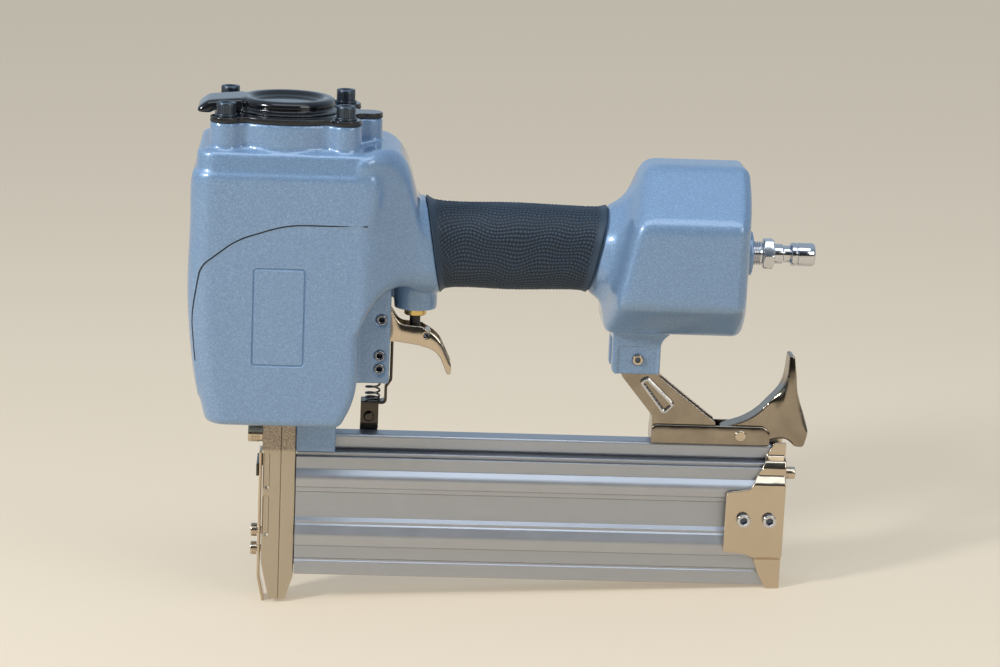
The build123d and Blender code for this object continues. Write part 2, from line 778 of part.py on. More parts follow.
def tank_section(x, lean, swell, inset):
    """An octagon across the handle's axis, between the neck (swell 0) and the full tank (swell 1)."""
    def between(neck_size, tank_size, inward):
        return neck_size + (tank_size - neck_size) * swell - inward

    stretch = 1 / math.cos(math.radians(lean))
    half = between(tank_neck_half_width, tank_half_width, inset)
    top = between(tank_neck_half_height, tank_top, inset) * stretch
    bottom = between(tank_neck_half_height, tank_bottom, inset) * stretch
    neck_side = tank_neck_half_height * neck_side_share
    side_top = between(neck_side, tank_side_top, inset / 2) * stretch
    side_bottom = between(neck_side, tank_side_bottom, inset / 2) * stretch
    neck_edge = tank_neck_half_width * neck_side_share
    top_half = between(neck_edge, tank_top_half, inset / 2)
    bottom_half = between(neck_edge, tank_bottom_half, inset / 2)
    corner = tank_corner_radius
    face = outline((
        (half, -side_bottom, corner), (half, side_top, corner), (top_half, top, corner),
        (-top_half, top, corner), (-half, side_top, corner), (-half, -side_bottom, corner),
        (-bottom_half, -bottom, corner), (bottom_half, -bottom, corner),
    ))
    return lean_plane(x, lean) * face


def rear_tank():
    tank = loft([tank_section(tank_front_x + x, tank_lean, swell, 0) for x, swell in tank_swell])
    full = tank_section(tank_full_x, tank_lean, 1, 0)
    shell = loft([full, tank_section(tank_rear_x, 0, 1, 0)], ruled=True)
    tank += fillet(shell.faces().sort_by(Axis.X)[-1].edges(), tank_rear_radius)
    tank += handle_tube(0, tube_end_x, tank_lean, tank_front_x + 1, tank_lean)
    tank += rod_x(tank_rear_x - tank_wall, boss_end_x, 0, handle_z, boss_radius)

    lug_end_x = lug_rear_x + 2 * lug_blend
    inside_z = tank_bottom_z + tank_corner_radius
    lug_face = outline((
        (lug_front_x, lug_bottom_z, 3), (lug_rear_x, lug_bottom_z, 1.5),
        (lug_rear_x, tank_bottom_z, lug_blend), (lug_end_x, tank_bottom_z, 0),
        (lug_end_x, inside_z, 0), (lug_front_x, inside_z, 0),
    ))
    tank += plate_xz(lug_face, -lug_half_width, lug_half_width)

    # Air room, spigot in the handle tube and thread of the air plug
    inside_x = tank_full_x + tank_wall
    room_front = tank_section(inside_x, tank_lean, 1, tank_wall)
    tank -= loft([room_front, tank_section(tank_rear_x - tank_wall, 0, 1, tank_wall)], ruled=True)
    spigot_x = tube_end_x - spigot_length
    tank += rod_x(spigot_x, tube_end_x + spigot_wall, 0, handle_z, spigot_radius)
    tank -= rod_x(spigot_x - 1, inside_x + tank_wall, 0, handle_z, spigot_radius - spigot_wall)
    tank -= groove((seal_x, 0, handle_z), (1, 0, 0), spigot_radius, spigot_radius - groove_depth)
    thread_x = boss_end_x - plug_thread_length
    tank -= rod_x(thread_x, boss_end_x + 1, 0, handle_z, plug_thread_radius + seat_gap)

    # Slot, side recesses and screw hole of the lug
    slot_half = arm_half + seat_gap
    slot_top = lug_bottom_z + lug_slot_depth
    tank -= block(lug_front_x - 1, lug_rear_x + 1, -slot_half, slot_half, lug_bottom_z - 1, slot_top)
    recess_x = lug_front_x + lug_margin
    recess_z = lug_bottom_z + lug_recess_height
    recess = plate_xz(outline((
        (recess_x, lug_bottom_z - 1, 0), (lug_rear_x - 1, lug_bottom_z - 1, 0),
        (lug_rear_x - 1, recess_z, 1), (recess_x, recess_z, 1),
    )), -lug_half_width - 1, -lug_half_width + lug_recess)
    return tank - mirrored(recess) - cross_hole(lug_screw_x, lug_screw_z, lug_screw_radius + seat_gap)


def tank_seal():
    return ring_seal((seal_x, 0, handle_z), (1, 0, 0), air_bore_radius - press_gap)


def handle_grip():
    sections = [
        handle_section(neck_end_x + x, lean, half_height, half_width, half_width - grip_flat)
        for x, lean, half_height, half_width in grip_stations
    ]
    return loft(sections) - handle_tube(grip_gap, neck_end_x - tube_overlap, 0, tank_rear_x, 0)


def air_plug():
    thread_x = boss_end_x - plug_thread_length
    hex_x = boss_end_x + plug_bare_thread
    waist_x = hex_x + plug_hex_length
    groove_x = waist_x + plug_waist_length
    tip_x = groove_x + plug_groove_length
    end_x = tip_x + plug_tip_length
    plug = rod_x(thread_x, hex_x, 0, handle_z, plug_thread_radius)
    hexagon = RegularPolygon(plug_hex_width / 2, 6, major_radius=False)
    plug += Pos(hex_x, 0, handle_z) * extrude(Plane.YZ * hexagon, amount=plug_hex_length)
    plug += rod_x(waist_x, groove_x, 0, handle_z, plug_waist_radius)
    plug += rod_x(groove_x, tip_x, 0, handle_z, plug_groove_radius)
    plug += chamfer(rod_x(tip_x, end_x, 0, handle_z, plug_tip_radius).edges(), plug_edge)
    return plug - rod_x(thread_x - 1, end_x + 1, 0, handle_z, plug_bore_radius)


# Cap and exhaust hood

def cap_gasket():
    gasket = plate_xy(lobed_outline(), collar_z, cap_z)
    gasket -= rod_z(collar_z - 1, cap_z + 1, 0, 0, head_radius + head_gap)
    for x, y in cap_screw_places():
        gasket -= rod_z(collar_z - 1, cap_z + 1, x, y, cap_screw_radius + seat_gap)
    return gasket


def cylinder_cap():
    cap = plate_xy(lobed_outline(), cap_z, hood_z)
    cap = fillet(cap.faces().sort_by(Axis.Z)[-1].edges(), cap_edge)
    for x, y in cap_screw_places():
        cap -= rod_z(cap_z - 1, hood_z + 1, x, y, cap_screw_radius + seat_gap)
    for count in range(exhaust_holes):
        turn = math.radians(360 * count / exhaust_holes)
        x = exhaust_hole_ring * math.cos(turn)
        y = exhaust_hole_ring * math.sin(turn)
        cap -= rod_z(cap_z - 1, hood_z + 1, x, y, exhaust_hole_radius)
    return cap - rod_z(cap_z - 1, hood_z + 1, 0, 0, hood_screw_radius + seat_gap)


def hood_roll():
    base_radius = hood_radius - hood_waist + hood_flare
    waist_z = hood_z + hood_waist_height
    profile = outline((
        (0, hood_z, 0), (base_radius, hood_z, 0), (base_radius, hood_z + hood_base, 0),
        (hood_radius - hood_waist, waist_z, 0.6), (hood_radius, waist_z + hood_waist, 1),
        (hood_radius, hood_top_z, roll_radius), (dish_radius, hood_top_z, roll_inner_radius),
        (dish_radius - dish_depth, dish_z, 2), (0, dish_z, 0),
    ))
    return revolve(Plane.XZ * profile, axis=Axis.Z)


def exhaust_hood():
    roll_x = -(hood_radius + dish_radius) / 2
    beak_x = -hood_radius - beak_length
    beak_root_x = -collar_radius - beak_gap
    beak_z = hood_z - beak_drop
    beak = plate_xz(outline((
        (roll_x, hood_z, 0), (beak_root_x, hood_z, 0), (beak_root_x, beak_z, 0),
        (beak_x + beak_tuck, beak_z, 0), (beak_x, beak_z + beak_lip, beak_round),
        (beak_x + beak_slope, hood_top_z - beak_droop, beak_round), (roll_x, hood_top_z, 0),
    )), -beak_half_width, beak_half_width)
    upper = beak.edges().filter_by(lambda edge: (
        edge.geom_type == GeomType.LINE and abs(edge.center().Y) > beak_half_width - 0.01
        and hood_z + 1 < edge.center().Z and edge.center().X < roll_x - 0.1
    ))
    hood = hood_roll() + fillet(upper, beak_edge)

    # Exhaust duct from over the cap's holes to the open underside of the beak
    duct_front_x = -dish_radius - hood_wall
    duct_top = hood_top_z - beak_droop - hood_wall
    lip_x = beak_x + hood_wall
    duct = outline((
        (duct_front_x, hood_z - 1, 0), (duct_front_x, duct_top, 0), (beak_x + beak_slope + 0.5, duct_top, 1),
        (lip_x, beak_z + beak_lip, 0), (lip_x, beak_z - 1, 0), (beak_root_x - hood_wall, beak_z - 1, 0),
        (beak_root_x - hood_wall, hood_z - 1, 0),
    ))
    duct_half = beak_half_width - hood_wall - 1
    hood -= plate_xz(duct, -duct_half, duct_half)
    pocket_top = dish_z - hood_wall
    pocket = rod_z(hood_z - 1, pocket_top, 0, 0, exhaust_hole_ring + exhaust_hole_radius)
    pocket -= rod_z(hood_z - 1, pocket_top, 0, 0, hood_boss_radius)
    pocket_x = duct_front_x - hood_wall
    half = exhaust_hole_ring
    pocket += block(pocket_x, -half, -half, half, hood_z - 1, pocket_top)
    return hood - pocket - rod_z(hood_z - 1, dish_z - 1, 0, 0, hood_screw_radius + seat_gap)


def hood_screw():
    """A screw from under the cap into the hood's boss."""
    length = dish_z - 1 - seat_gap - cap_z
    return socket_screw((0, 0, cap_z), (0, 0, 1), hood_screw_radius, length,
                        hood_screw_head_radius, hood_screw_head_height)


def cap_screws():
    size = (cap_screw_radius, cap_screw_length, cap_screw_head_radius, cap_screw_head_height)
    under_head = hood_z + cap_washer_thickness
    return Compound(children=[
        socket_screw((x, y, under_head), (0, 0, -1), *size) for x, y in cap_screw_places()
    ])


def cap_washers():
    washers = []
    for x, y in cap_screw_places():
        disc = rod_z(hood_z, hood_z + cap_washer_thickness, x, y, cap_washer_radius)
        washers.append(disc - rod_z(hood_z - 1, hood_z + 5, x, y, cap_screw_radius + seat_gap))
    return Compound(children=washers)


# Cylinder, piston and head valve

def sleeve_seal_heights():
    return [sleeve_bottom_z + share * sleeve_seat_height for share in (0.25, 0.75)]


def cylinder_sleeve():
    sleeve = rod_z(sleeve_bottom_z, sleeve_top_z, 0, 0, sleeve_radius)
    sleeve -= rod_z(sleeve_bottom_z - 1, sleeve_top_z + 1, 0, 0, bore_radius)
    for z in sleeve_seal_heights():
        sleeve -= groove((0, 0, z), (0, 0, 1), sleeve_radius, sleeve_radius - groove_depth)
    return sleeve


def cylinder_seals():
    outer = sleeve_radius + seat_gap - press_gap
    return Compound(children=[ring_seal((0, 0, z), (0, 0, 1), outer) for z in sleeve_seal_heights()])


def piston_bumper():
    cone = Cone(bore_radius - seat_gap, bore_radius - bumper_taper, bumper_height, align=BASE)
    bumper_top = sleeve_bottom_z + bumper_height
    bore = rod_z(sleeve_bottom_z - 1, bumper_top + 1, 0, 0, bumper_bore_radius)
    return Pos(0, 0, sleeve_bottom_z) * cone - bore


def main_piston():
    piston = rod_z(piston_z, piston_z + piston_height, 0, 0, bore_radius - piston_gap)
    piston = chamfer(piston.edges(), piston_edge)
    middle = piston_z + piston_height / 2
    piston -= groove((0, 0, middle), (0, 0, 1), bore_radius, bore_radius - groove_depth - piston_gap)
    half_depth = blade_depth / 2 + seat_gap
    half_width = blade_width / 2 + seat_gap
    socket_top = piston_z + blade_socket
    return piston - block(-half_depth, half_depth, -half_width, half_width, piston_z - 1, socket_top)


def piston_seal():
    return ring_seal((0, 0, piston_z + piston_height / 2), (0, 0, 1), bore_radius - running_gap)


def driver_blade():
    tip_z = nose_height + blade_drop
    half_depth = blade_depth / 2
    half_width = blade_width / 2
    return block(-half_depth, half_depth, -half_width, half_width, tip_z, piston_z + blade_socket)


def head_valve():
    top = head_z + head_height
    valve = rod_z(head_z, top, 0, 0, head_radius)
    valve -= rod_z(head_z + head_floor, top + 1, 0, 0, head_recess_radius)
    valve -= rod_z(head_z - 1, top, 0, 0, head_bore_radius)
    middle = (0, 0, head_z + head_height / 2)
    return valve - groove(middle, (0, 0, 1), head_radius, head_radius - groove_depth)


def head_valve_seal():
    return ring_seal((0, 0, head_z + head_height / 2), (0, 0, 1), head_radius + head_gap - running_gap)


def head_valve_spring():
    seat = head_z + head_floor
    return spring("head_valve_spring", (0, 0, seat), (0, 0, 1), (1, 0, 0), cap_z - seat,
                  head_spring_radius, head_spring_wire, head_spring_turns)


# Trigger and its valve

def roll_pin(x, z):
    half = cheek_half_width + pin_stand
    return rod_y(-half, half, x, z, pin_radius) - cross_hole(x, z, pin_hole_radius)


def trigger_pin():
    return roll_pin(trigger_pin_x, trigger_pin_z)


def guide_pins():
    return Compound(children=[roll_pin(guide_pin_x, z) for z in guide_pins_z])


def guide_block():
    half = cheek_slot_half_width - seat_gap
    piece = block(cheek_slot_front_x + seat_gap, cheek_rear_x, -half, half, guide_block_z, guide_block_top_z)
    room_x = arm_foot_x - sheet / 2 - sliding_gap
    room_z = seat_z + arm_jog + arm_jog_rise + strip_drop + sheet
    piece -= block(room_x, cheek_rear_x + 1, -half, half, guide_block_z - 1, room_z)
    for z in guide_pins_z:
        piece -= cross_hole(guide_pin_x, z, pin_radius + press_gap)
    return piece


def valve_bushing():
    bushing = chamfer(rod_z(bushing_z, bushing_top_z, valve_x, 0, bushing_radius).edges(), bushing_edge)
    bushing -= rod_z(bushing_z - 1, bushing_top_z + 1, valve_x, 0, stem_radius + running_gap)
    return bushing - rod_z(stem_collar_z - sliding_gap, bushing_top_z + 1, valve_x, 0, valve_room_radius)


def valve_cap():
    cap = rod_z(bushing_top_z - valve_cap_height, bushing_top_z, valve_x, 0, valve_room_radius - seat_gap)
    return cap - rod_z(bushing_z, bushing_top_z + 1, valve_x, 0, stem_radius + running_gap)


def valve_stem():
    stem = rod_z(bushing_z - stem_drop, bushing_top_z + stem_top, valve_x, 0, stem_radius)
    stem = chamfer(stem.edges(), bushing_edge)
    return stem + rod_z(stem_collar_z, stem_collar_z + stem_collar_height, valve_x, 0, stem_collar_radius)


def valve_spring():
    seat = stem_collar_z + stem_collar_height
    length = bushing_top_z - valve_cap_height - seat
    radius = (stem_radius + valve_room_radius) / 2
    return spring("valve_spring", (valve_x, 0, seat), (0, 0, 1), (1, 0, 0), length,
                  radius, valve_spring_wire, valve_spring_turns)


def trigger():
    face = outline(shifted(trigger_outline, trigger_pin_x, trigger_pin_z))
    lever = plate_xz(face, -trigger_half_width, trigger_half_width)
    inner = trigger_half_width - trigger_wall
    lever -= plate_xz(Pos(0.8 * trigger_wall, trigger_wall) * face, -inner, inner)
    web_x = trigger_pin_x + trigger_web
    lever -= block(trigger_pin_x - 10, web_x, -inner, inner, trigger_pin_z - 20, trigger_pin_z - 5)
    lever -= cross_hole(trigger_pin_x, trigger_pin_z, pin_radius + running_gap)
    return lever - cross_hole(idler_pin_x, idler_pin_z, idler_pin_radius + press_gap)


def idler_pin():
    half = trigger_half_width - idler_pin_inset
    return rod_y(-half, half, idler_pin_x, idler_pin_z, idler_pin_radius)


def trigger_idler():
    tip = (arm_wall_x - sheet / 2, arm_top_z + sliding_gap + idler_thickness / 2)
    face = trace(Line((idler_pin_x, idler_pin_z), tip), line_width=idler_thickness)
    arm = plate_xz(face, -idler_half_width, idler_half_width)
    arm += rod_y(-idler_half_width, idler_half_width, idler_pin_x, idler_pin_z, idler_boss_radius)
    return arm - cross_hole(idler_pin_x, idler_pin_z, idler_pin_radius + running_gap)


# Nose

def nose_half(points, flange_low_x, flange_high_x):
    """One half of the nose with its flange, the blade's slot and the screw holes."""
    half = plate_xz(outline(points), -nose_half_width, nose_half_width)
    flange_half = nose_flange_half_width
    half += block(flange_low_x, flange_high_x, -flange_half, flange_half, nose_height, housing_z)
    for y in (-nose_screw_y, nose_screw_y):
        half -= rod_x(flange_front_x - 1, flange_rear_x + 1, y, nose_screw_z, nose_screw_radius + seat_gap)
    return half - blade_room(-1, housing_z + 1)


def nose_guide():
    guide = nose_half((
        (nose_split_x, 0, 0), (nose_tip_rear_x, 0, nose_edge), (nose_rear_x, nose_taper_rear, 6),
        (nose_rear_x, nose_height, 0), (nose_split_x, nose_height, 0),
    ), nose_split_x, flange_rear_x)
    slot = nail_slot_half_width
    room = nail_room_half_width
    guide -= block(nose_split_x - 1, nose_rear_x + 1, -slot, slot, nail_bottom_z, nail_top_z)
    return guide - block(nose_split_x - 1, nose_rear_x + 1, -room, room, guide_top_z, nail_top_z)


def nose_cover():
    cover = nose_half((
        (nose_split_x, 0, 0), (nose_split_x, nose_height, 0), (nose_front_x, nose_height, 0),
        (nose_front_x, nose_taper_front, 10), (nose_tip_front_x, 0, nose_edge),
    ), flange_front_x, nose_split_x)
    pocket_x = nose_front_x + pocket_margin + pocket_width / 2
    for top, bottom in pocket_drops:
        slot = RectangleRounded(pocket_width, bottom - top, pocket_width / 2 - 0.05)
        place = Pos(pocket_x, nose_height - (top + bottom) / 2)
        cover -= mirrored(plate_xz(place * slot, -nose_half_width - 1, -nose_half_width + pocket_depth))
    hole_end = nose_front_x + strip_screw_depth
    for z in strip_screws_z:
        cover -= rod_x(nose_front_x - 1, hole_end, 0, z, strip_screw_radius + seat_gap)
    return cover


def nose_screws():
    size = (nose_screw_radius, nose_screw_length, nose_screw_head_radius, nose_screw_head_height)
    under_head = flange_front_x - nose_washer_thickness
    return Compound(children=[
        socket_screw((under_head, y, nose_screw_z), (1, 0, 0), *size) for y in (-nose_screw_y, nose_screw_y)
    ])


def nose_washers():
    washers = []
    front_x = flange_front_x - nose_washer_thickness
    for y in (-nose_screw_y, nose_screw_y):
        disc = rod_x(front_x, flange_front_x, y, nose_screw_z, nose_washer_radius)
        hole = rod_x(front_x - 1, flange_front_x + 1, y, nose_screw_z, nose_screw_radius + seat_gap)
        washers.append(disc - hole)
    return Compound(children=washers)


def strip_screws():
    """Shoulder screws that the contact strip slides under."""
    head_x = strip_x - sheet / 2 - sliding_gap
    length = nose_front_x + strip_screw_depth - head_x
    size = (strip_screw_radius, length, strip_screw_head_radius, strip_screw_head_height)
    return Compound(children=[socket_screw((head_x, 0, z), (1, 0, 0), *size) for z in strip_screws_z])


# Contact safety

def contact_foot():
    path = [(strip_x, strip_top_z), (strip_x, strip_bend_z), (strip_tip_x, -strip_drop - sheet)]
    foot = plate_xz(strip(path, [strip_bend_radius], sheet), -strip_half_width, strip_half_width)
    foot &= block(strip_x - 10, 0, -strip_half_width, strip_half_width, -strip_drop, strip_top_z)
    slot_half = strip_screw_radius + sliding_gap / 2
    for z in strip_screws_z:
        foot -= block(strip_x - 5, strip_x + 2, -slot_half, slot_half, z - strip_drop, z)
        for end_z in (z - strip_drop, z):
            foot -= rod_x(strip_x - 5, strip_x + 2, 0, end_z, slot_half)
    return foot


def safety_link():
    """A bent strip from the front of the nose, round its far side, to the arm."""
    half = sheet / 2
    front_x = strip_x - sheet
    near = link_y - half
    far = link_y + half
    tab = link_tab_y - half
    bar_top = link_bar_z + link_bar_height
    shelf_top = link_shelf_z + sheet
    link = block(front_x - half, front_x + half, -strip_half_width, far, link_bar_z, bar_top)
    link += block(front_x - half, link_rear_x, near, far, link_bar_z, bar_top)
    link += block(link_front_x, link_rear_x, near, far, link_bar_z, shelf_top)
    link += block(link_front_x, link_rear_x, tab, far, link_shelf_z, shelf_top)
    link += block(link_front_x, link_rear_x, tab, tab + sheet, link_shelf_z, seat_z - seat_gap)
    return link - link_screw_hole()


def link_screw_hole():
    return rod_y(0, link_y - sheet, link_screw_x, link_screw_z, link_screw_radius + press_gap)


def safety_arm():
    half = sheet / 2
    jog_z = seat_z + arm_jog
    path = [(link_front_x, seat_z + half), (arm_foot_x, seat_z + half), (arm_foot_x, jog_z),
            (arm_wall_x, jog_z + arm_jog_rise), (arm_wall_x, arm_top_z)]
    arm = plate_xz(strip(path, [arm_bend] * 3, sheet), -arm_half_width, arm_half_width)
    tab_y = link_tab_y - sheet
    arm += block(link_front_x, link_rear_x, -arm_half_width, tab_y + half, seat_z, seat_z + sheet)
    tab_z = link_shelf_z + 2 * sheet
    arm += block(link_front_x, link_rear_x, tab_y - half, tab_y + half, tab_z, seat_z + sheet)
    return arm - link_screw_hole()


def link_screw():
    seat_y = link_tab_y - 1.5 * sheet
    screw = rod_y(seat_y, link_tab_y + sheet, link_screw_x, link_screw_z, link_screw_radius)
    seat = (link_screw_x, seat_y, link_screw_z)
    return screw + domed_head(seat, (0, -1, 0), link_screw_head_radius, link_screw_head)


def safety_spring():
    seat = seat_z + sheet
    return spring("safety_spring", (safety_spring_x, 0, seat), (0, 0, 1), (1, 0, 0), guide_block_z - seat,
                  safety_spring_radius, safety_spring_wire, safety_spring_turns)


# Magazine

def magazine_outline():
    far = shifted(magazine_profile, 0, magazine_top_z, -1)
    near = [(-y, z, radius) for y, z, radius in reversed(far)]
    return outline(far + near)


def magazine_body():
    front_x = magazine_front_x - 1
    rear_x = magazine_rear_x + 1
    body = plate_yz(magazine_outline(), magazine_front_x, magazine_rear_x)
    stem_half = rail_slot_half_width - sliding_gap
    head_half = rail_half_width - rail_wall - sliding_gap
    head_low = rail_bottom_z + rail_lip + sliding_gap
    head_high = rail_top_z - rail_roof - sliding_gap
    runner_x = foot_rear_x + sliding_gap
    body += block(runner_x, magazine_rear_x, -stem_half, stem_half, magazine_top_z - 0.5, head_high)
    body += block(runner_x, magazine_rear_x, -head_half, head_half, head_low, head_high)

    # Room for nails and guides, and the hollow chambers of the side walls
    room = nail_room_half_width
    body -= block(front_x, rear_x, -room, room, nail_bottom_z, magazine_top_z - magazine_roof)
    for low_drop, high_drop, outer_y in chambers:
        low = magazine_top_z - low_drop
        body -= mirrored(block(front_x, rear_x, chamber_y, outer_y, low, magazine_top_z - high_drop))
    body -= mirrored(rod_x(front_x, rear_x, spring_bore_y, spring_bore_z, spring_bore_radius))
    ear_half = ear_thickness / 2 + sliding_gap
    ear_low = spring_bore_z - ear_half
    body -= block(front_x, rear_x, room - 1, spring_bore_y, ear_low, spring_bore_z + ear_half)
    for x in tail_screws_x:
        body -= cross_hole(x, tail_screw_z, tail_screw_radius + seat_gap)
    return body


def magazine_rail():
    rail = block(foot_rear_x, rail_rear_x, -rail_half_width, rail_half_width, rail_bottom_z, rail_top_z)
    rail = fillet(rail.edges().filter_by(Axis.X).sort_by(Axis.Z)[-2:], rail_edge)
    inner = rail_half_width - rail_wall
    slot = rail_slot_half_width
    lip_z = rail_bottom_z + rail_lip
    rail -= block(foot_rear_x - 1, rail_rear_x + 1, -inner, inner, lip_z, rail_top_z - rail_roof)
    return rail - block(foot_rear_x - 1, rail_rear_x + 1, -slot, slot, rail_bottom_z - 1, lip_z + 1)


def nail_guides():
    inner = nail_slot_half_width - guide_inset
    outer = inner + guide_thickness
    ear_half = ear_thickness / 2 + sliding_gap
    low = nail_bottom_z + sliding_gap
    near = block(nose_rear_x, guide_rear_x, -outer, -inner, low, guide_top_z)
    far_low = block(nose_rear_x, guide_rear_x, inner, outer, low, spring_bore_z - ear_half)
    far_high = block(nose_rear_x, guide_rear_x, inner, outer, spring_bore_z + ear_half, guide_top_z)
    return Compound(children=[near, far_low, far_high])


def nail_pusher():
    front = pusher_front_x
    rear = pusher_rear_x
    half = nail_slot_half_width - guide_inset - pusher_gap
    pusher = block(front, rear, -half, half, nail_bottom_z + 2 * sliding_gap, guide_top_z + 2)
    head_half = nail_room_half_width - sliding_gap
    head_top = magazine_top_z - magazine_roof - sliding_gap
    pusher += block(front, rear, -head_half, head_half, guide_top_z + sliding_gap, head_top)
    ear_x = rear - ear_length
    ear_half = ear_thickness / 2
    pusher += block(ear_x, rear, 0, spring_bore_y, spring_bore_z - ear_half, spring_bore_z + ear_half)
    return pusher + rod_x(ear_x, rear, spring_bore_y, spring_bore_z, spring_bore_radius - sliding_gap)


def pusher_spring():
    radius = spring_bore_radius - sliding_gap - pusher_spring_wire
    length = magazine_rear_x + seat_gap - pusher_rear_x
    start = (pusher_rear_x, spring_bore_y, spring_bore_z)
    return spring("pusher_spring", start, (1, 0, 0), (0, 1, 0), length,
                  radius, pusher_spring_wire, pusher_spring_turns)


def tail_bracket():
    far = [(y, magazine_top_z - drop) for y, drop in tail_path]
    near = [(-y, z) for y, z in reversed(far)]
    front_x = tail_rear_x - tail_length
    walls = mirrored(plate_yz(strip(far, tail_path_radii, tail_sheet), front_x, tail_rear_x))
    radii = [0, *tail_path_radii, 0, 0, *reversed(tail_path_radii), 0]
    rear_face = make_face(FilletPolyline(*far, *near, radius=radii, close=True))
    bracket = walls + plate_yz(rear_face, tail_rear_x - tail_sheet, tail_rear_x)
    side = [(tail_rear_x - ahead, magazine_top_z - drop, radius) for ahead, drop, radius in tail_side]
    bracket &= plate_xz(outline(side), -reach, reach)
    inner = far[0][0] - tail_sheet / 2
    catch_z = magazine_top_z + tail_catch
    bracket -= block(front_x, tail_rear_x + 1, -inner, inner, catch_z, far[0][1] + 1)
    for x in tail_screws_x:
        bracket -= cross_hole(x, tail_screw_z, tail_screw_radius + seat_gap)
    return bracket - rod_x(tail_rear_x - 5, tail_rear_x + 1, 0, stop_screw_z, tail_screw_radius + seat_gap)


def tail_screws():
    seat_y = max(y for y, _ in tail_path) + tail_sheet / 2
    size = (tail_screw_radius, seat_y - chamber_y, tail_screw_head_radius, tail_screw_head_height)
    return Compound(children=[
        socket_screw((x, side * seat_y, tail_screw_z), (0, -side, 0), *size)
        for x in tail_screws_x
        for side in (-1, 1)
    ])


def tail_stop_screw():
    return socket_screw((tail_rear_x, 0, stop_screw_z), (-1, 0, 0), tail_screw_radius, stop_screw_length,
                        stop_screw_radius, stop_screw_length)


# Support arm and latch

def support_arm():
    top_z = lug_bottom_z + lug_slot_depth - 3
    shoulder_z = lug_bottom_z - arm_shoulder
    rear_z = rail_top_z + arm_rear_fall
    face = outline((
        (arm_top_front_x, top_z, 2), (arm_top_rear_x, top_z, 2), (arm_top_rear_x, shoulder_z, 4),
        (arm_rear_x - arm_rear_bend, rail_top_z + arm_rear_rise, 4), (arm_rear_x, rear_z, 1.5),
        (arm_rear_x, arm_base_z, 0), (bracket_front_x, arm_base_z, 0),
        (bracket_front_x, rail_top_z + arm_front_rise, 3), (arm_top_front_x, shoulder_z, 4),
    ))
    arm = plate_xz(face, -arm_half, arm_half)
    inner = arm_half - arm_sheet
    arm -= plate_xz(Pos(arm_sheet, arm_sheet) * face, -inner, inner)
    slot_x = bracket_front_x + arm_sheet
    arm -= block(slot_x, arm_rear_x + 5, -inner, inner, arm_base_z - 1, arm_base_z + arm_slot_height)
    pad = outline(shifted(emboss_outline, arm_top_front_x, rail_top_z))
    bead = pad - offset(pad, -emboss_width)
    arm += mirrored(plate_xz(bead, -arm_half - emboss_height, -arm_half + 0.2))
    return arm - cross_hole(lug_screw_x, lug_screw_z, lug_screw_radius + seat_gap)


def latch_bracket():
    channel = plate_xz(outline((
        (bracket_front_x, rail_top_z, 0), (bracket_rear_x, rail_top_z, 0), (bracket_rear_x, bracket_top_z, 5),
        (bracket_front_x, bracket_top_z, 2.5),
    )), -bracket_half, bracket_half)
    inner = bracket_half - bracket_wall
    channel -= block(bracket_front_x - 1, bracket_rear_x + 1, -inner, inner, arm_base_z, bracket_top_z + 1)
    return channel - cross_hole(latch_x, latch_z, latch_pin_radius + press_gap)


def latch_pin():
    pin = rod_y(-bracket_half, bracket_half, latch_x, latch_z, latch_pin_radius)
    seat = (latch_x, -bracket_half, latch_z)
    return pin + mirrored(domed_head(seat, (0, -1, 0), latch_pin_head_radius, latch_pin_head))


def latch_spring():
    half = latch_half - latch_sheet - latch_coil_margin
    return spring("latch_spring", (latch_x, -half, latch_z), (0, 1, 0), (0, 0, 1), 2 * half,
                  latch_coil_radius, latch_coil_wire, latch_coil_turns)


def latch_lever():
    face = outline(shifted(latch_outline, latch_x, latch_z))
    lever = plate_xz(face, -latch_half, latch_half)
    inner = latch_half - latch_sheet
    lever -= plate_xz(Pos(latch_sheet * 0.75, -latch_sheet) * face, -inner, inner)
    open_z = latch_z + latch_open_height
    lever -= block(latch_x + latch_open, latch_x + reach, -inner, inner, open_z - 2 * bracket_height, open_z)
    return lever - cross_hole(latch_x, latch_z, latch_pin_radius + running_gap)


def lug_screw():
    seat_y = lug_half_width - lug_recess
    return socket_screw((lug_screw_x, -seat_y, lug_screw_z), (0, 1, 0), lug_screw_radius, 2 * seat_y - 0.5,
                        lug_screw_head_radius, lug_screw_head_height)


PIECES = (
    body_casting, rear_tank, tank_seal, handle_grip, air_plug, cap_gasket, cylinder_cap, exhaust_hood,
    hood_screw, cap_screws, cap_washers, cylinder_sleeve, cylinder_seals, piston_bumper, main_piston,
    piston_seal, driver_blade, head_valve, head_valve_seal, head_valve_spring, trigger_pin, guide_pins,
    guide_block, valve_bushing, valve_cap, valve_stem, valve_spring, trigger, idler_pin, trigger_idler,
    nose_guide, nose_cover, nose_screws, nose_washers, strip_screws, contact_foot, safety_link,
    safety_arm, link_screw, safety_spring, magazine_body, magazine_rail, nail_guides, nail_pusher,
    pusher_spring, tail_bracket, tail_screws, tail_stop_screw, support_arm, latch_bracket, latch_pin,
    latch_spring, latch_lever, lug_screw,
)

os.makedirs("parts", exist_ok=True)
for piece in PIECES:
    export_step(piece(), f"parts/{piece.__name__}.step")
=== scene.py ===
import bpy
import json
import math
from mathutils import Matrix, Vector

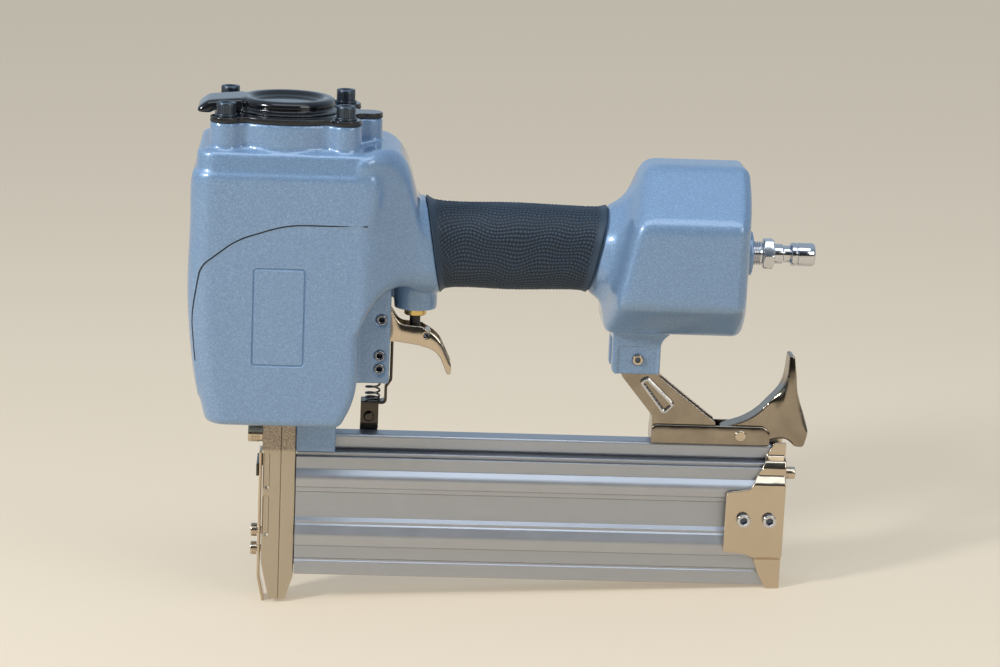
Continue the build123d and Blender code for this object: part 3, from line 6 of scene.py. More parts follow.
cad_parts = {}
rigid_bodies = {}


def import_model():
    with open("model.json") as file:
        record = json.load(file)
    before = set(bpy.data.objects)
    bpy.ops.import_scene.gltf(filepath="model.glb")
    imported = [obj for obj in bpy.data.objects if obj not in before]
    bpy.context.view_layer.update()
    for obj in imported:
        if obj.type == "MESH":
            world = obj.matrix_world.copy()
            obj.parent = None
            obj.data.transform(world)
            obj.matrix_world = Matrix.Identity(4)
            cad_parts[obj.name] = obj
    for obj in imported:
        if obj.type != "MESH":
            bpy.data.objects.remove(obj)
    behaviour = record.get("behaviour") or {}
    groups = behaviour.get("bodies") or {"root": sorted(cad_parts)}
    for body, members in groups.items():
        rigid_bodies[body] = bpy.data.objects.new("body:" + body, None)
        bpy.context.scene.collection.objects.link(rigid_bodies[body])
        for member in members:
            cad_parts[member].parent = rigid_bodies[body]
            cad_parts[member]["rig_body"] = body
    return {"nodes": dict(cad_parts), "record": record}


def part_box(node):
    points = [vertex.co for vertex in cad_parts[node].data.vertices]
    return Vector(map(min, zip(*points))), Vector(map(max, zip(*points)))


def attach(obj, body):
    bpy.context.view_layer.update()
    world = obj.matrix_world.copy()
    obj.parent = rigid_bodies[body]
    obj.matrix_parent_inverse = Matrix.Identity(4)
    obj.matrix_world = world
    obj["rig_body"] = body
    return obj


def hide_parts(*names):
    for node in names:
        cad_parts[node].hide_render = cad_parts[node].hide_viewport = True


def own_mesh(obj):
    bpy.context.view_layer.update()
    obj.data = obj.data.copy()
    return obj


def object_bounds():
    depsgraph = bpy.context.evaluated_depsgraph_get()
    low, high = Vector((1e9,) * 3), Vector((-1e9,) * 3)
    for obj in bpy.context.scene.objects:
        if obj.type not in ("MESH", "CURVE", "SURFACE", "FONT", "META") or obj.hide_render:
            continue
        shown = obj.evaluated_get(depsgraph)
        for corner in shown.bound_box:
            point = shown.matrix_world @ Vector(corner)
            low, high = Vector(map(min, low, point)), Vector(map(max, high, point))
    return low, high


# A pneumatic concrete nailer. The frame's units are metres, and MM makes millimetres of them.
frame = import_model()
cad_low, cad_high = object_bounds()
MM = 0.001

# The photograph's view of the tool, which stands on its nose and on the foot of its tail bracket
IMAGE_WIDTH = 1000
IMAGE_HEIGHT = 667
FOCAL_PIXELS = 2900
NOSE_TIP_PIXEL = (275, 593.3)
NOSE_TIP_DISTANCE = 1.595
CAMERA_ELEVATION = math.radians(13.4)
CAMERA_YAW = math.radians(3.0)
TOOL_LEAN = math.radians(2.4)
SENSOR_WIDTH = 36.0

# A floor as pale and warm as light wood, and cool light from above and behind that fades to the front
PALE_FLOOR = (0.82, 0.70, 0.54)
FLOOR_GLOW = 0.4
FLOOR_SIZE = 14
SKY_BRIGHT = (0.66, 0.82, 1.0)
SKY_DARK = (0.05, 0.052, 0.055)
SKY_STRENGTH = 0.62
SKY_LEAN = (0.0, 0.72, 0.69)
LAMPS = (
    ("overhead", (0.0, -0.60, 1.29), (1.6, 0.7), 8, (0.86, 0.93, 1.0)),
    ("front_left", (-1.35, -0.75, 0.8), (0.28, 0.28), 20, (1, 1, 1)),
    ("front_right", (1.0, -1.1, 0.7), (0.6, 0.6), 5, (1, 1, 1)),
)                        # name, place from the tool's middle, size, power and colour

# Places taken from the frame
plug_low, plug_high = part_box("air_plug")
tank_low, tank_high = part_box("rear_tank")
HANDLE_Z = (plug_low.z + plug_high.z) / 2
HOUSING_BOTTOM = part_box("nose_guide")[1].z
COLLAR_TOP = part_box("cap_gasket")[0].z
FLANGE_LOW = HOUSING_BOTTOM - 20.5 * MM
LEVER_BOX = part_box("latch_lever")

# Points closer than WELD are one. Angles, in degrees, up to which faces are shaded as one surface
WELD = 0.002 * MM
PLAIN_ANGLE = 30
PANEL_ANGLE = 40
SOFT_ANGLE = 60

# Soft castings: size of the remeshed faces, passes of smoothing, and more passes where a form is eased
CAST_GRAIN = 1.08 * MM
CAST_PASSES = 3
NECK_EASING = 60
NECK_ALONG = (36 * MM, 46 * MM, 56 * MM, 66 * MM)
NECK_HEIGHTS = (92 * MM, 104 * MM, 130 * MM, 140 * MM)
HOOD_GRAIN = 0.45 * MM
HOOD_PASSES = 16
HOOD_EASING = 90
TANK_GRAIN = 0.75 * MM
TANK_EASING = 120
TANK_REAR = tank_high.x - 4.5 * MM
TANK_CROWN = 3.2 * MM
CROWN_SIDES = (17 * MM, 43 * MM)
CROWN_LENGTH = 22 * MM
STOP_DEPTH = 3.5 * MM

# Pressed and ground steel, with bows in the sides of levers and brackets
SHEET_GRAIN = 0.32 * MM
BRACKET_GRAIN = 0.40 * MM
NOSE_GRAIN = 0.36 * MM
STEEL_PASSES = 4
LEVER_PASSES = 14
TRIGGER_BOW = 0.9 * MM
BRACKET_BOW = 0.5 * MM
LEVER_BOW = 2.4 * MM
BOW_GROWTH = 6 * MM
HEEL_EASING = 600
HEEL_EASED = (22 * MM, 8 * MM)
HEEL_SWOLLEN = (11 * MM, 4 * MM)
HEEL_HEIGHTS = (40 * MM, 22 * MM)
HEEL_SWELLING = Vector((1.7 * MM, 0, -1.2 * MM))
ARM_BEAD_TOP = 0.3 * MM
FINE_EDGE = 0.18 * MM
PIN_BORES = {"trigger_pin": 1.6 * MM, "idler_pin": 0.9 * MM, "guide_pins": 1.6 * MM}
PIN_EDGE = 0.3           # share of the pin's wall

# Springs: gap between the end turns, and points per turn
END_GAP = 0.5 * MM
TURN_POINTS = 40

# Socket screws: radius and height of the head, radius and length of the shank, and number of knurls
SCREW_SIZES = {
    "cap_screws": (5.0 * MM, 6.0 * MM, 3.0 * MM, 24 * MM, 32),
    "nose_screws": (4.7 * MM, 6.0 * MM, 3.0 * MM, 32 * MM, 32),
    "strip_screws": (3.6 * MM, 3.4 * MM, 2.0 * MM, 5 * MM, 24),
    "tail_screws": (3.7 * MM, 3.2 * MM, 2.0 * MM, 3 * MM, 24),
}
LUG_HEAD = (2.8 * MM, 1.6 * MM)
LUG_KNURLS = 18
TAIL_STOP_SHANK = 1 * MM
TAIL_STOP_KNURLS = 20
THIN_SHANK = 2.0 * MM

# Shares of a socket head's height
KNURL_TOP = 0.72
SOCKET_BOTTOM = 0.45
SOCKET_TOP = 0.95

# Shares of a socket head's radius
KNURL_GAP = 0.02
KNURL_DEPTH = 0.05
HEAD_EDGE = 0.12
SOCKET_RADIUS = 0.58
SOCKET_INSIDE = 0.56
SOCKET_EDGE = 0.04

# Badge outline on the housing's near side, and panel groove on both, with heights over its underside
SIDE_PANEL_Y = -41.3 * MM
BADGE_X = -1.2 * MM
BADGE_Z = HOUSING_BOTTOM + 59.5 * MM
BADGE_WIDTH = 28.0 * MM
BADGE_HEIGHT = 53.0 * MM
BADGE_CORNER = 2.2 * MM
BADGE_LINE = 1.3 * MM
BADGE_DEPTH = 0.6 * MM
BADGE_CHAMFER = 0.9 * BADGE_DEPTH
BADGE_MARGIN = 2 * MM
PANEL_REACH = 1 * MM     # how far from the panel's plane the skin is pressed flat
PANEL_LINE = (
    (44.0, 109.6, 0), (2.0, 109.2, 60.0), (-24.0, 100.5, 40.0), (-42.5, 86.0, 14.0), (-46.9, 58.0, 60.0),
    (-44.5, 34.0, 0),
)                        # X, height and corner radius, in millimetres
PANEL_GROOVE = 0.45 * MM

# Air plug, in millimetres: profile as distance from the tip and radius, tooth of the thread, and hexagon
PLUG_PROFILE = (
    (28.2, 5.8), (22.2, 5.4), (17.6, 5.4), (17.0, 4.6), (13.7, 4.6), (13.4, 4.9), (12.5, 6.3), (10.2, 6.3),
    (9.9, 6.0), (9.3, 6.0), (9.0, 6.3), (1.2, 6.3), (0.4, 5.9), (0.0, 5.4), (0.0, 3.9), (0.5, 3.5),
)
PLUG_BORE = 3.5
PLUG_PITCH = 1.3
PLUG_TOOTH = ((0.0, 5.8), (0.325, 5.8), (0.65, 6.5), (0.91, 6.5))
HEX_ENDS = (28.2, 22.2)
HEX_WIDTH = 15.0
HEX_CHAMFER = ((0.0, 3.6), (0.0, 7.3), (1.0, 9.0), (5.0, 9.0), (6.0, 7.3), (6.0, 3.6))

# Grip, in millimetres: distance from the front rim, lean in degrees, half height and half width
GRIP_STATIONS = (
    (0.0, -9.7, 26.5, 23.0), (4.0, -8.5, 23.8, 20.4), (15.5, -4.0, 22.7, 19.6), (42.5, 1.0, 23.1, 20.0),
    (70.5, 8.0, 22.6, 19.6), (83.5, 11.5, 22.8, 20.0), (87.9, 12.0, 24.0, 21.4),
)
GRIP_FRONT = 79.5
GRIP_FLAT = 2.0
GRIP_RINGS = 270
GRIP_SIDES = 340
GRIP_RIM = 2.4
GRIP_LIP = 0.8
GRIP_TURN_IN = 0.78      # share of the rims' size
ROW_PITCH = 1.9
ROW_WAVES = ((0.45, 6.1, 13.0, 0.0), (0.35, 3.3, -7.0, 2.0))   # share of a row, length, girth and start
ROW_DRIFT = (0.4, 2.3)                                         # share of a bead, and turn from row to row
BEAD_DRIFT = (0.35, 2.7, 1.9)                                  # the same, with its length in the middle
BEAD_PITCH = 1.7
BEAD_HEIGHT = 0.45
BEAD_LEVEL = 0.6         # share of a bead's height that lies below the grip's plain surface
BEAD_VALLEY = 0.15       # share of a bead's height that is left between beads of a row


# Finishes: shader values and the nodes that make them

class Value:
    """A shader value. Sums and products of values add Math nodes to their finish."""

    def __init__(self, finish, socket):
        self.finish = finish
        self.socket = socket

    def calculate(self, operation, first, second):
        return self.finish.node("ShaderNodeMath", {"operation": operation}, {0: first, 1: second})

    def __add__(self, other):
        return self.calculate("ADD", self, other)

    def __radd__(self, other):
        return self.calculate("ADD", other, self)

    def __sub__(self, other):
        return self.calculate("SUBTRACT", self, other)

    def __mul__(self, other):
        return self.calculate("MULTIPLY", self, other)


class Nodes:
    """A tree of shader nodes, which all come from its node method."""

    def __init__(self, tree):
        self.tree = tree

    def node(self, kind, settings=None, inputs=None, output=0):
        made = self.tree.nodes.new(kind)
        for name, setting in (settings or {}).items():
            if name == "stops":
                self.set_stops(made.color_ramp.elements, setting)
            else:
                setattr(made, name, setting)
        for name, given in (inputs or {}).items():
            self.feed(made.inputs[name], given)
        return Value(self, made.outputs[output])

    def set_stops(self, elements, stops):
        while len(elements) < len(stops):
            elements.new(1.0)
        for element, (position, shade) in zip(elements, stops):
            element.position = position
            element.color = (shade, shade, shade, 1.0)

    def feed(self, socket, given):
        if isinstance(given, Value):
            self.tree.links.new(given.socket, socket)
        elif hasattr(given, "__len__") and len(given) == 3 and len(socket.default_value) == 4:
            socket.default_value = (*given, 1.0)
        else:
            socket.default_value = given

    def ramp(self, value, *stops):
        return self.node("ShaderNodeValToRGB", {"stops": stops}, {"Fac": value})

    def mix(self, share, first, second):
        inputs = {"Factor": share, 6: first, 7: second}
        return self.node("ShaderNodeMix", {"data_type": "RGBA"}, inputs, output=2)


class Finish(Nodes):
    """A material on Object coordinates."""

    def __init__(self, name):
        self.material = bpy.data.materials.new(name)
        self.material.use_nodes = True
        super().__init__(self.material.node_tree)
        self.shader = self.tree.nodes["Principled BSDF"]
        self.place = self.node("ShaderNodeTexCoord", output="Object")

    def shade(self, **sockets):
        """Sets the surface's sockets, named with _ for a space."""
        for name, given in sockets.items():
            self.feed(self.shader.inputs[name.replace("_", " ").title().replace("Ior", "IOR")], given)

    def stretched(self, scale):
        return self.node("ShaderNodeMapping", {}, {"Vector": self.place, "Scale": scale})

    def noise(self, size, detail=2.0, place=None):
        """Soft clouds about size across, from 0 to 1."""
        inputs = {"Vector": place or self.place, "Scale": 1 / size, "Detail": detail}
        return self.node("ShaderNodeTexNoise", {}, inputs)

    def cells(self, size, feature="F1"):
        """Distance to the nearest of many points about size apart."""
        inputs = {"Vector": self.place, "Scale": 1 / size}
        return self.node("ShaderNodeTexVoronoi", {"feature": feature}, inputs)

    def bump(self, height, distance, strength=1.0):
        inputs = {"Height": height, "Distance": distance, "Strength": strength}
        self.shade(normal=self.node("ShaderNodeBump", {}, inputs))


def hammertone():
    """Gloss blue-grey stove paint with a fine silver hammered grain."""
    paint = Finish("hammertone")
    grain = paint.noise(0.45 * MM, 3.0)
    pits = paint.cells(0.7 * MM, "SMOOTH_F1")
    broad = paint.noise(40 * MM)
    speckle = paint.ramp(grain * 0.6 + pits * 0.4, (0.34, 0.0), (0.66, 1.0))
    colour = paint.mix(speckle, (0.148, 0.244, 0.392), (0.250, 0.386, 0.580))
    paint.shade(base_color=paint.mix(broad * 0.2, colour, (0.18, 0.29, 0.45)))
    paint.shade(metallic=0.25, roughness=0.34 + grain * 0.14, coat_weight=1.0, coat_roughness=0.04)
    paint.bump(grain * 0.5 + pits * 0.5, 0.06 * MM, 0.3)
    return paint.material


def black_enamel():
    enamel = Finish("black_enamel")
    waviness = enamel.noise(6 * MM)
    dust = enamel.noise(0.5 * MM, 3.0)
    enamel.shade(base_color=enamel.mix(dust, (0.004, 0.005, 0.007), (0.009, 0.010, 0.013)))
    enamel.shade(roughness=0.14 + dust * 0.1, specular_ior_level=0.2, coat_weight=0.75, coat_roughness=0.02)
    enamel.bump(waviness + dust * 0.15, 0.05 * MM, 0.4)
    return enamel.material


def grip_rubber():
    """Black rubber, with painted shade between the grip's beads and a painted bluish sheen on their tops."""
    rubber = Finish("grip_rubber")
    fine = rubber.noise(0.35 * MM)
    worn = rubber.noise(14 * MM)
    # Painted shade and sheen: the bead attribute takes the colour from near black between the beads to a
    # bluish light on their tops
    tops = rubber.node("ShaderNodeAttribute", {"attribute_name": "bead"}, output="Fac")
    shade = rubber.mix(tops, (0.005, 0.008, 0.012), (0.058, 0.095, 0.148))
    rubber.shade(base_color=rubber.mix(worn * 0.3, shade, (0.014, 0.023, 0.036)))
    rubber.shade(roughness=0.36 + fine * 0.18, specular_ior_level=0.35)
    rubber.bump(fine, 0.05 * MM, 0.5)
    return rubber.material


def metal(name, dark, light, roughness, spread, streak=(1, 1, 1), wave=0.0):
    """A metal with fine marks of its making, streak long along X, Y and Z, and a soft wave in its sheet."""
    plate = Finish(name)
    marks = plate.noise(0.25 * MM, 3.0, plate.stretched([1 / length for length in streak]))
    cloud = plate.noise(12 * MM, 3.0)
    plate.shade(base_color=plate.mix(marks * 0.55 + cloud * 0.45, dark, light), metallic=1.0)
    plate.shade(roughness=roughness - spread / 2 + (marks * 0.5 + cloud * 0.5) * spread)
    plate.bump(marks + plate.noise(11 * MM, 1.0) * wave, 0.02 * MM, 0.4)
    return plate.material


def ground_steel():
    """The nose's ground sides, left rough as cast on its flange."""
    steel = Finish("ground_steel")
    marks = steel.noise(0.25 * MM, 3.0, steel.stretched((1, 1, 1 / 3)))
    cast = steel.cells(0.7 * MM)
    height = steel.node("ShaderNodeSeparateXYZ", {}, {"Vector": steel.place}, "Z")
    flange = steel.ramp((height - FLANGE_LOW) * 1000, (0.0, 0.0), (1.0, 1.0))
    ground = steel.mix(marks, (0.44, 0.38, 0.295), (0.66, 0.58, 0.465))
    rough = steel.mix(cast * 1.4, (0.14, 0.115, 0.09), (0.48, 0.41, 0.33))
    steel.shade(base_color=steel.mix(flange, ground, rough), metallic=1.0)
    steel.shade(roughness=0.29 + marks * 0.14 + flange * 0.06)
    steel.bump(marks + cast * flange * 4, 0.03 * MM, 0.5)
    return steel.material


def nickel_in_painted_shade():
    """Nickel of the latch and the support arm, uneven from its pressing, and darker than the plated steel as
    painted shade.
    """
    return metal("nickel_in_painted_shade", (0.13, 0.105, 0.08), (0.54, 0.46, 0.36), 0.14, 0.10, wave=25)


def nickel_in_deeper_painted_shade():
    """Nickel of the safety's link, arm and screw, darkened further as painted shade and painted dark
    reflection.
    """
    return metal("nickel_in_deeper_painted_shade", (0.026, 0.023, 0.020), (0.115, 0.100, 0.082), 0.16, 0.10, wave=25)


def matt(name, dark, light, roughness, grain):
    """A plain moulded surface with an even grain."""
    moulded = Finish(name)
    fine = moulded.noise(grain)
    moulded.shade(base_color=moulded.mix(fine, dark, light), roughness=roughness + fine * 0.15)
    moulded.bump(fine, 0.04 * MM, 0.5)
    return moulded.material


def groove_shadow():
    """Painted shade on the bottom of the panel groove, a dark colour in place of its shadow."""
    return matt("groove_shadow", (0.022, 0.027, 0.034), (0.046, 0.055, 0.067), 0.6, 0.8 * MM)


FINISHES = {
    "hammertone": hammertone(),
    "black_enamel": black_enamel(),
    "grip_rubber": grip_rubber(),
    "seal_rubber": matt("seal_rubber", (0.010, 0.010, 0.011), (0.020, 0.020, 0.022), 0.55, 0.6 * MM),
    "plated_steel": metal("plated_steel", (0.52, 0.43, 0.32), (0.66, 0.56, 0.44), 0.16, 0.10, wave=40),
    "black_steel": metal("black_steel", (0.072, 0.090, 0.118), (0.135, 0.165, 0.210), 0.34, 0.2),
    "spring_steel": metal("spring_steel", (0.10, 0.10, 0.11), (0.22, 0.22, 0.23), 0.3, 0.2),
    "anodised": metal("anodised", (0.42, 0.44, 0.48), (0.54, 0.56, 0.60), 0.46, 0.12, (60, 1, 1)),
    "machined": metal("machined", (0.55, 0.55, 0.55), (0.72, 0.72, 0.72), 0.25, 0.12, (8, 8, 1)),
    "brass": metal("brass", (0.62, 0.42, 0.13), (0.80, 0.58, 0.24), 0.22, 0.14, (6, 6, 1)),
    "chrome": metal("chrome", (0.54, 0.54, 0.56), (0.72, 0.72, 0.74), 0.10, 0.08, (1, 6, 6)),
    "black_plastic": matt("black_plastic", (0.012, 0.012, 0.013), (0.022, 0.022, 0.024), 0.35, 0.5 * MM),
}
SLOTS = {subpart["node"]: subpart["material_slot"] for subpart in frame["record"]["subparts"]}


def dress_frame():
    """Gives every CAD node the finish of its slot in the record."""
    for node, slot in SLOTS.items():
        shown = frame["nodes"][node]
        shown.data.materials.clear()
        shown.data.materials.append(FINISHES[slot])


# Modelling steps

def only(piece):
    """Selects this piece alone, out of edit mode."""
    if bpy.context.mode != "OBJECT":
        close()
    bpy.ops.object.select_all(action="DESELECT")
    piece.select_set(True)
    bpy.context.view_layer.objects.active = piece


def edit(piece):
    """Opens the piece in edit mode with all of it selected."""
    only(piece)
    bpy.ops.object.mode_set(mode="EDIT")
    bpy.ops.mesh.select_all(action="SELECT")


def close():
    bpy.ops.object.mode_set(mode="OBJECT")


def pick(piece, wanted):
    """Selects the faces whose middle and normal are wanted, in edit mode."""
    edit(piece)
    bpy.ops.mesh.select_mode(type="FACE")
    bpy.ops.mesh.select_all(action="DESELECT")
    close()
    for face in piece.data.polygons:
        face.select = wanted(face.center, face.normal)
    bpy.ops.object.mode_set(mode="EDIT")


def pick_edges(piece, wanted):
    """Selects the edges whose two ends are wanted, in edit mode."""
    edit(piece)
    bpy.ops.mesh.select_mode(type="EDGE")
    bpy.ops.mesh.select_all(action="DESELECT")
    close()
    places = [vertex.co for vertex in piece.data.vertices]
    for line in piece.data.edges:
        line.select = all(wanted(places[end]) for end in line.vertices)
    bpy.ops.object.mode_set(mode="EDIT")


def modify(piece, kind, **settings):
    """Adds a modifier to the piece and applies it."""
    only(piece)
    step = piece.modifiers.new(kind.lower(), kind)
    for name, setting in settings.items():
        setattr(step, name, setting)
    bpy.ops.object.modifier_apply(modifier=step.name)


def cut(piece, tool, operation="DIFFERENCE"):
    """Cuts the piece with a tool, which is used up."""
    modify(piece, "BOOLEAN", operation=operation, object=tool, solver="EXACT", material_mode="TRANSFER")
    bpy.data.objects.remove(tool)


def joined(piece, *others):
    """Adds other pieces to this one."""
    only(piece)
    for other in others:
        other.select_set(True)
    bpy.ops.object.join()
    return piece


def settle(piece):
    """Puts the piece's place into its mesh."""
    only(piece)
    bpy.ops.object.transform_apply(location=True, rotation=True, scale=True)


def cylinder(name, radius, low, high, axis="Z", sides=48):
    """A round bar between two points on a line along the axis."""
    turn = {"X": (0, math.pi / 2, 0), "Y": (math.pi / 2, 0, 0), "Z": (0, 0, 0)}[axis]
    low, high = Vector(low), Vector(high)
    bpy.ops.object.select_all(action="DESELECT")
    bpy.ops.mesh.primitive_cylinder_add(
        vertices=sides, radius=radius, depth=(high - low).length, location=(low + high) / 2, rotation=turn,
    )
    bar = bpy.context.object
    bar.name = name
    settle(bar)
    return bar


def wire(name, points, radius, roundness):
    """A round wire along a list of points."""
    bent = bpy.data.curves.new(name, "CURVE")
    bent.dimensions = "3D"
    bent.bevel_depth = radius
    bent.bevel_resolution = roundness
    bent.use_fill_caps = True
    line = bent.splines.new("POLY")
    line.points.add(len(points) - 1)
    for place, point in zip(points, line.points):
        point.co = (*place, 1.0)
    piece = bpy.data.objects.new(name, bent)
    bpy.context.scene.collection.objects.link(piece)
    only(piece)
    bpy.ops.object.convert(target="MESH")
    edit(piece)
    bpy.ops.mesh.remove_doubles(threshold=WELD)
    bpy.ops.mesh.normals_make_consistent(inside=False)
    close()
    return piece


def copy_of(node, name):
    """A copy of a CAD node with its triangles joined up."""
    piece = bpy.data.objects.new(name, frame["nodes"][node].data.copy())
    bpy.context.scene.collection.objects.link(piece)
    only(piece)
    bpy.ops.mesh.customdata_custom_splitnormals_clear()
    edit(piece)
    bpy.ops.mesh.remove_doubles(threshold=WELD)
    close()
    return piece


def hand_over(piece, *nodes, angle=PLAIN_ANGLE, finish=None):
    """Gives the piece its finish and puts it in the place of these CAD nodes."""
    only(piece)
    bpy.ops.object.shade_smooth_by_angle(angle=math.radians(angle))
    slot = SLOTS[nodes[0]]
    piece.data.materials.clear()
    piece.data.materials.append(finish or FINISHES[slot])
    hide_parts(*nodes)
    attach(piece, frame["nodes"][nodes[0]]["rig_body"])
    return piece


# Castings: the housing, the tank and the exhaust hood

def softened(piece, grain, passes):
    """Makes one skin of the piece, with soft edges and blended corners."""
    modify(piece, "REMESH", mode="VOXEL", voxel_size=grain)
    modify(piece, "SMOOTH", factor=0.5, iterations=passes)


def rising(value, start, end):
    """From 0 at start to 1 at end."""
    return min(max((value - start) / (end - start), 0.0), 1.0)


def within(value, start, full, fall, end):
    """From 0 at start to 1 at full, and from 1 at fall back to 0 at end."""
    return rising(value, start, full) * rising(-value, -end, -fall)


def eased(piece, passes, share):
    """Smooths the piece further, by the share that each of its places takes."""
    group = piece.vertex_groups.new(name="eased")
    for vertex in piece.data.vertices:
        group.add([vertex.index], share(vertex.co), "REPLACE")
    modify(piece, "SMOOTH", factor=0.5, iterations=passes, vertex_group=group.name)
    piece.vertex_groups.clear()


def neck_root(place):
    """Where the side panel turns into the neck."""
    return within(place.x, *NECK_ALONG) * within(place.z - HOUSING_BOTTOM, *NECK_HEIGHTS)


def tank_walls(place):
    """The tank above its lug and ahead of its hose boss."""
    above_lug = rising(place.z, tank_low.z + 22 * MM, tank_low.z + 30 * MM)
    ahead_of_boss = rising(-place.x, 9 * MM - tank_high.x, 14 * MM - tank_high.x)
    return above_lug * ahead_of_boss


def hood_snout(place):
    """The hood's deflector, ahead of its round lid."""
    return rising(-place.x, 20 * MM, 28 * MM)


def crowned_rear(skin):
    """Draws the sides of the tank's rear wall forwards, so that the wall is crowned round the hose boss."""
    for vertex in skin.data.vertices:
        side = rising(abs(vertex.co.y), *CROWN_SIDES)
        behind = rising(vertex.co.x, TANK_REAR - CROWN_LENGTH, TANK_REAR)
        vertex.co.x -= TANK_CROWN * side ** 2 * behind


def rounded_line(corners):
    """Points along a line through corners of (x, z, radius), round each of them."""
    points = [Vector(corners[0][:2])]
    for before, corner, after in zip(corners, corners[1:], corners[2:]):
        place, radius = Vector(corner[:2]), corner[2]
        back = (Vector(before[:2]) - place).normalized()
        ahead = (Vector(after[:2]) - place).normalized()
        bend = (math.pi - back.angle(ahead)) / 2
        middle = place + (back + ahead).normalized() * radius / math.cos(bend)
        start = (place + back * radius * math.tan(bend) - middle).normalized()
        end = (place + ahead * radius * math.tan(bend) - middle).normalized()
        points += [middle + start.slerp(end, count / 12) * radius for count in range(13)]
    return points + [Vector(corners[-1][:2])]


def panel_tool(skin, side):
    """A wire that lies on the skin's side along the panel's edge, to cut the groove with."""
    points = []
    for x, height in rounded_line(PANEL_LINE):
        start = Vector((x * MM, side * 0.1, HOUSING_BOTTOM + height * MM))
        points.append(skin.ray_cast(start, (0, -side, 0))[1])
    return wire("panel_tool", points, PANEL_GROOVE, 2)


def badge_tool():
    """A rounded ring with chamfered edges, to cut the outline of the bare badge panel with."""
    bpy.ops.object.select_all(action="DESELECT")
    bpy.ops.mesh.primitive_plane_add(
        size=1, location=(BADGE_X, SIDE_PANEL_Y, BADGE_Z), rotation=(math.pi / 2, 0, 0),
    )
    tool = bpy.context.object
    tool.name = "badge_tool"
    tool.scale = (BADGE_WIDTH, BADGE_HEIGHT, 1)
    settle(tool)
    edit(tool)
    bpy.ops.mesh.bevel(offset=BADGE_CORNER, segments=6, affect="VERTICES")
    bpy.ops.mesh.select_all(action="SELECT")
    bpy.ops.mesh.inset(thickness=BADGE_LINE)
    bpy.ops.mesh.delete(type="FACE")
    close()
    modify(tool, "SOLIDIFY", thickness=2 * BADGE_DEPTH, offset=0)
    modify(
        tool, "BEVEL", width=BADGE_CHAMFER, segments=1,
        limit_method="ANGLE", angle_limit=math.radians(50),
    )
    tool.data.materials.append(FINISHES["hammertone"])
    return tool


def housing_skin():
    """The body casting, stopped where its bores lead inside."""
    skin = copy_of("body_casting", "housing_skin")
    stem_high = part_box("valve_stem")[1]
    bushing_low, bushing_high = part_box("valve_bushing")
    valve_x = (bushing_low.x + bushing_high.x) / 2
    valve_stop = stem_high.z + 3 * MM
    tube_stop = tank_low.x - 4 * MM
    stops = (
        cylinder("head_stop", 31 * MM, (0, 0, COLLAR_TOP - STOP_DEPTH), (0, 0, COLLAR_TOP)),
        cylinder("blade_stop", 6 * MM, (0, 0, HOUSING_BOTTOM), (0, 0, HOUSING_BOTTOM + STOP_DEPTH)),
        cylinder("valve_stop", 8 * MM, (valve_x, 0, valve_stop), (valve_x, 0, valve_stop + STOP_DEPTH)),
        cylinder("tube_stop", 14 * MM, (tube_stop, 0, HANDLE_Z), (tube_stop + STOP_DEPTH, 0, HANDLE_Z), "X"),
    )
    joined(skin, *stops)
    softened(skin, CAST_GRAIN, CAST_PASSES)
    eased(skin, NECK_EASING, neck_root)
    for vertex in skin.data.vertices:
        place = vertex.co
        in_width = abs(place.x - BADGE_X) < BADGE_WIDTH / 2 + BADGE_MARGIN
        in_height = abs(place.z - BADGE_Z) < BADGE_HEIGHT / 2 + BADGE_MARGIN
        if in_width and in_height and abs(place.y - SIDE_PANEL_Y) < PANEL_REACH:
            place.y = SIDE_PANEL_Y
    hand_over(skin, "body_casting", angle=SOFT_ANGLE)
    cut(skin, badge_tool())
    # The groove's cut faces take painted shade
    shadow = groove_shadow()
    for side in (-1, 1):
        tool = panel_tool(skin, side)
        tool.data.materials.append(shadow)
        cut(skin, tool)
    only(skin)
    bpy.ops.object.shade_smooth_by_angle(angle=math.radians(PANEL_ANGLE))


def tank_skin():
    """The tank casting, stopped inside its spigot and behind the air plug."""
    skin = copy_of("rear_tank", "tank_skin")
    spigot = tank_low.x + 1 * MM
    boss = tank_high.x - 12 * MM
    stops = (
        cylinder("spigot_stop", 10 * MM, (spigot, 0, HANDLE_Z), (spigot + STOP_DEPTH, 0, HANDLE_Z), "X"),
        cylinder("boss_stop", 8 * MM, (boss, 0, HANDLE_Z), (boss + STOP_DEPTH, 0, HANDLE_Z), "X"),
    )
    joined(skin, *stops)
    softened(skin, TANK_GRAIN, CAST_PASSES)
    eased(skin, TANK_EASING, tank_walls)
    crowned_rear(skin)
    hand_over(skin, "rear_tank", angle=SOFT_ANGLE)


def hood_shell():
    shell = copy_of("exhaust_hood", "hood_shell")
    softened(shell, HOOD_GRAIN, HOOD_PASSES)
    eased(shell, HOOD_EASING, hood_snout)
    hand_over(shell, "exhaust_hood", angle=SOFT_ANGLE)


# Grip

def smooth_between(stations, along, column):
    """The value of a column of the stations at a distance along them, on a smooth curve through all."""
    last = len(stations) - 1
    place = max(count for count in range(last) if stations[count][0] <= along)
    slopes = []
    for count in (place, place + 1):
        before = stations[max(count - 1, 0)]
        after = stations[min(count + 1, last)]
        slopes.append((after[column] - before[column]) / (after[0] - before[0]))
    start, end = stations[place], stations[place + 1]
    length = end[0] - start[0]
    share = (along - start[0]) / length
    square, cube = share ** 2, share ** 3
    return (
        start[column] * (2 * cube - 3 * square + 1) + end[column] * (3 * square - 2 * cube)
        + slopes[0] * length * (cube - 2 * square + share) + slopes[1] * length * (cube - square)
    )


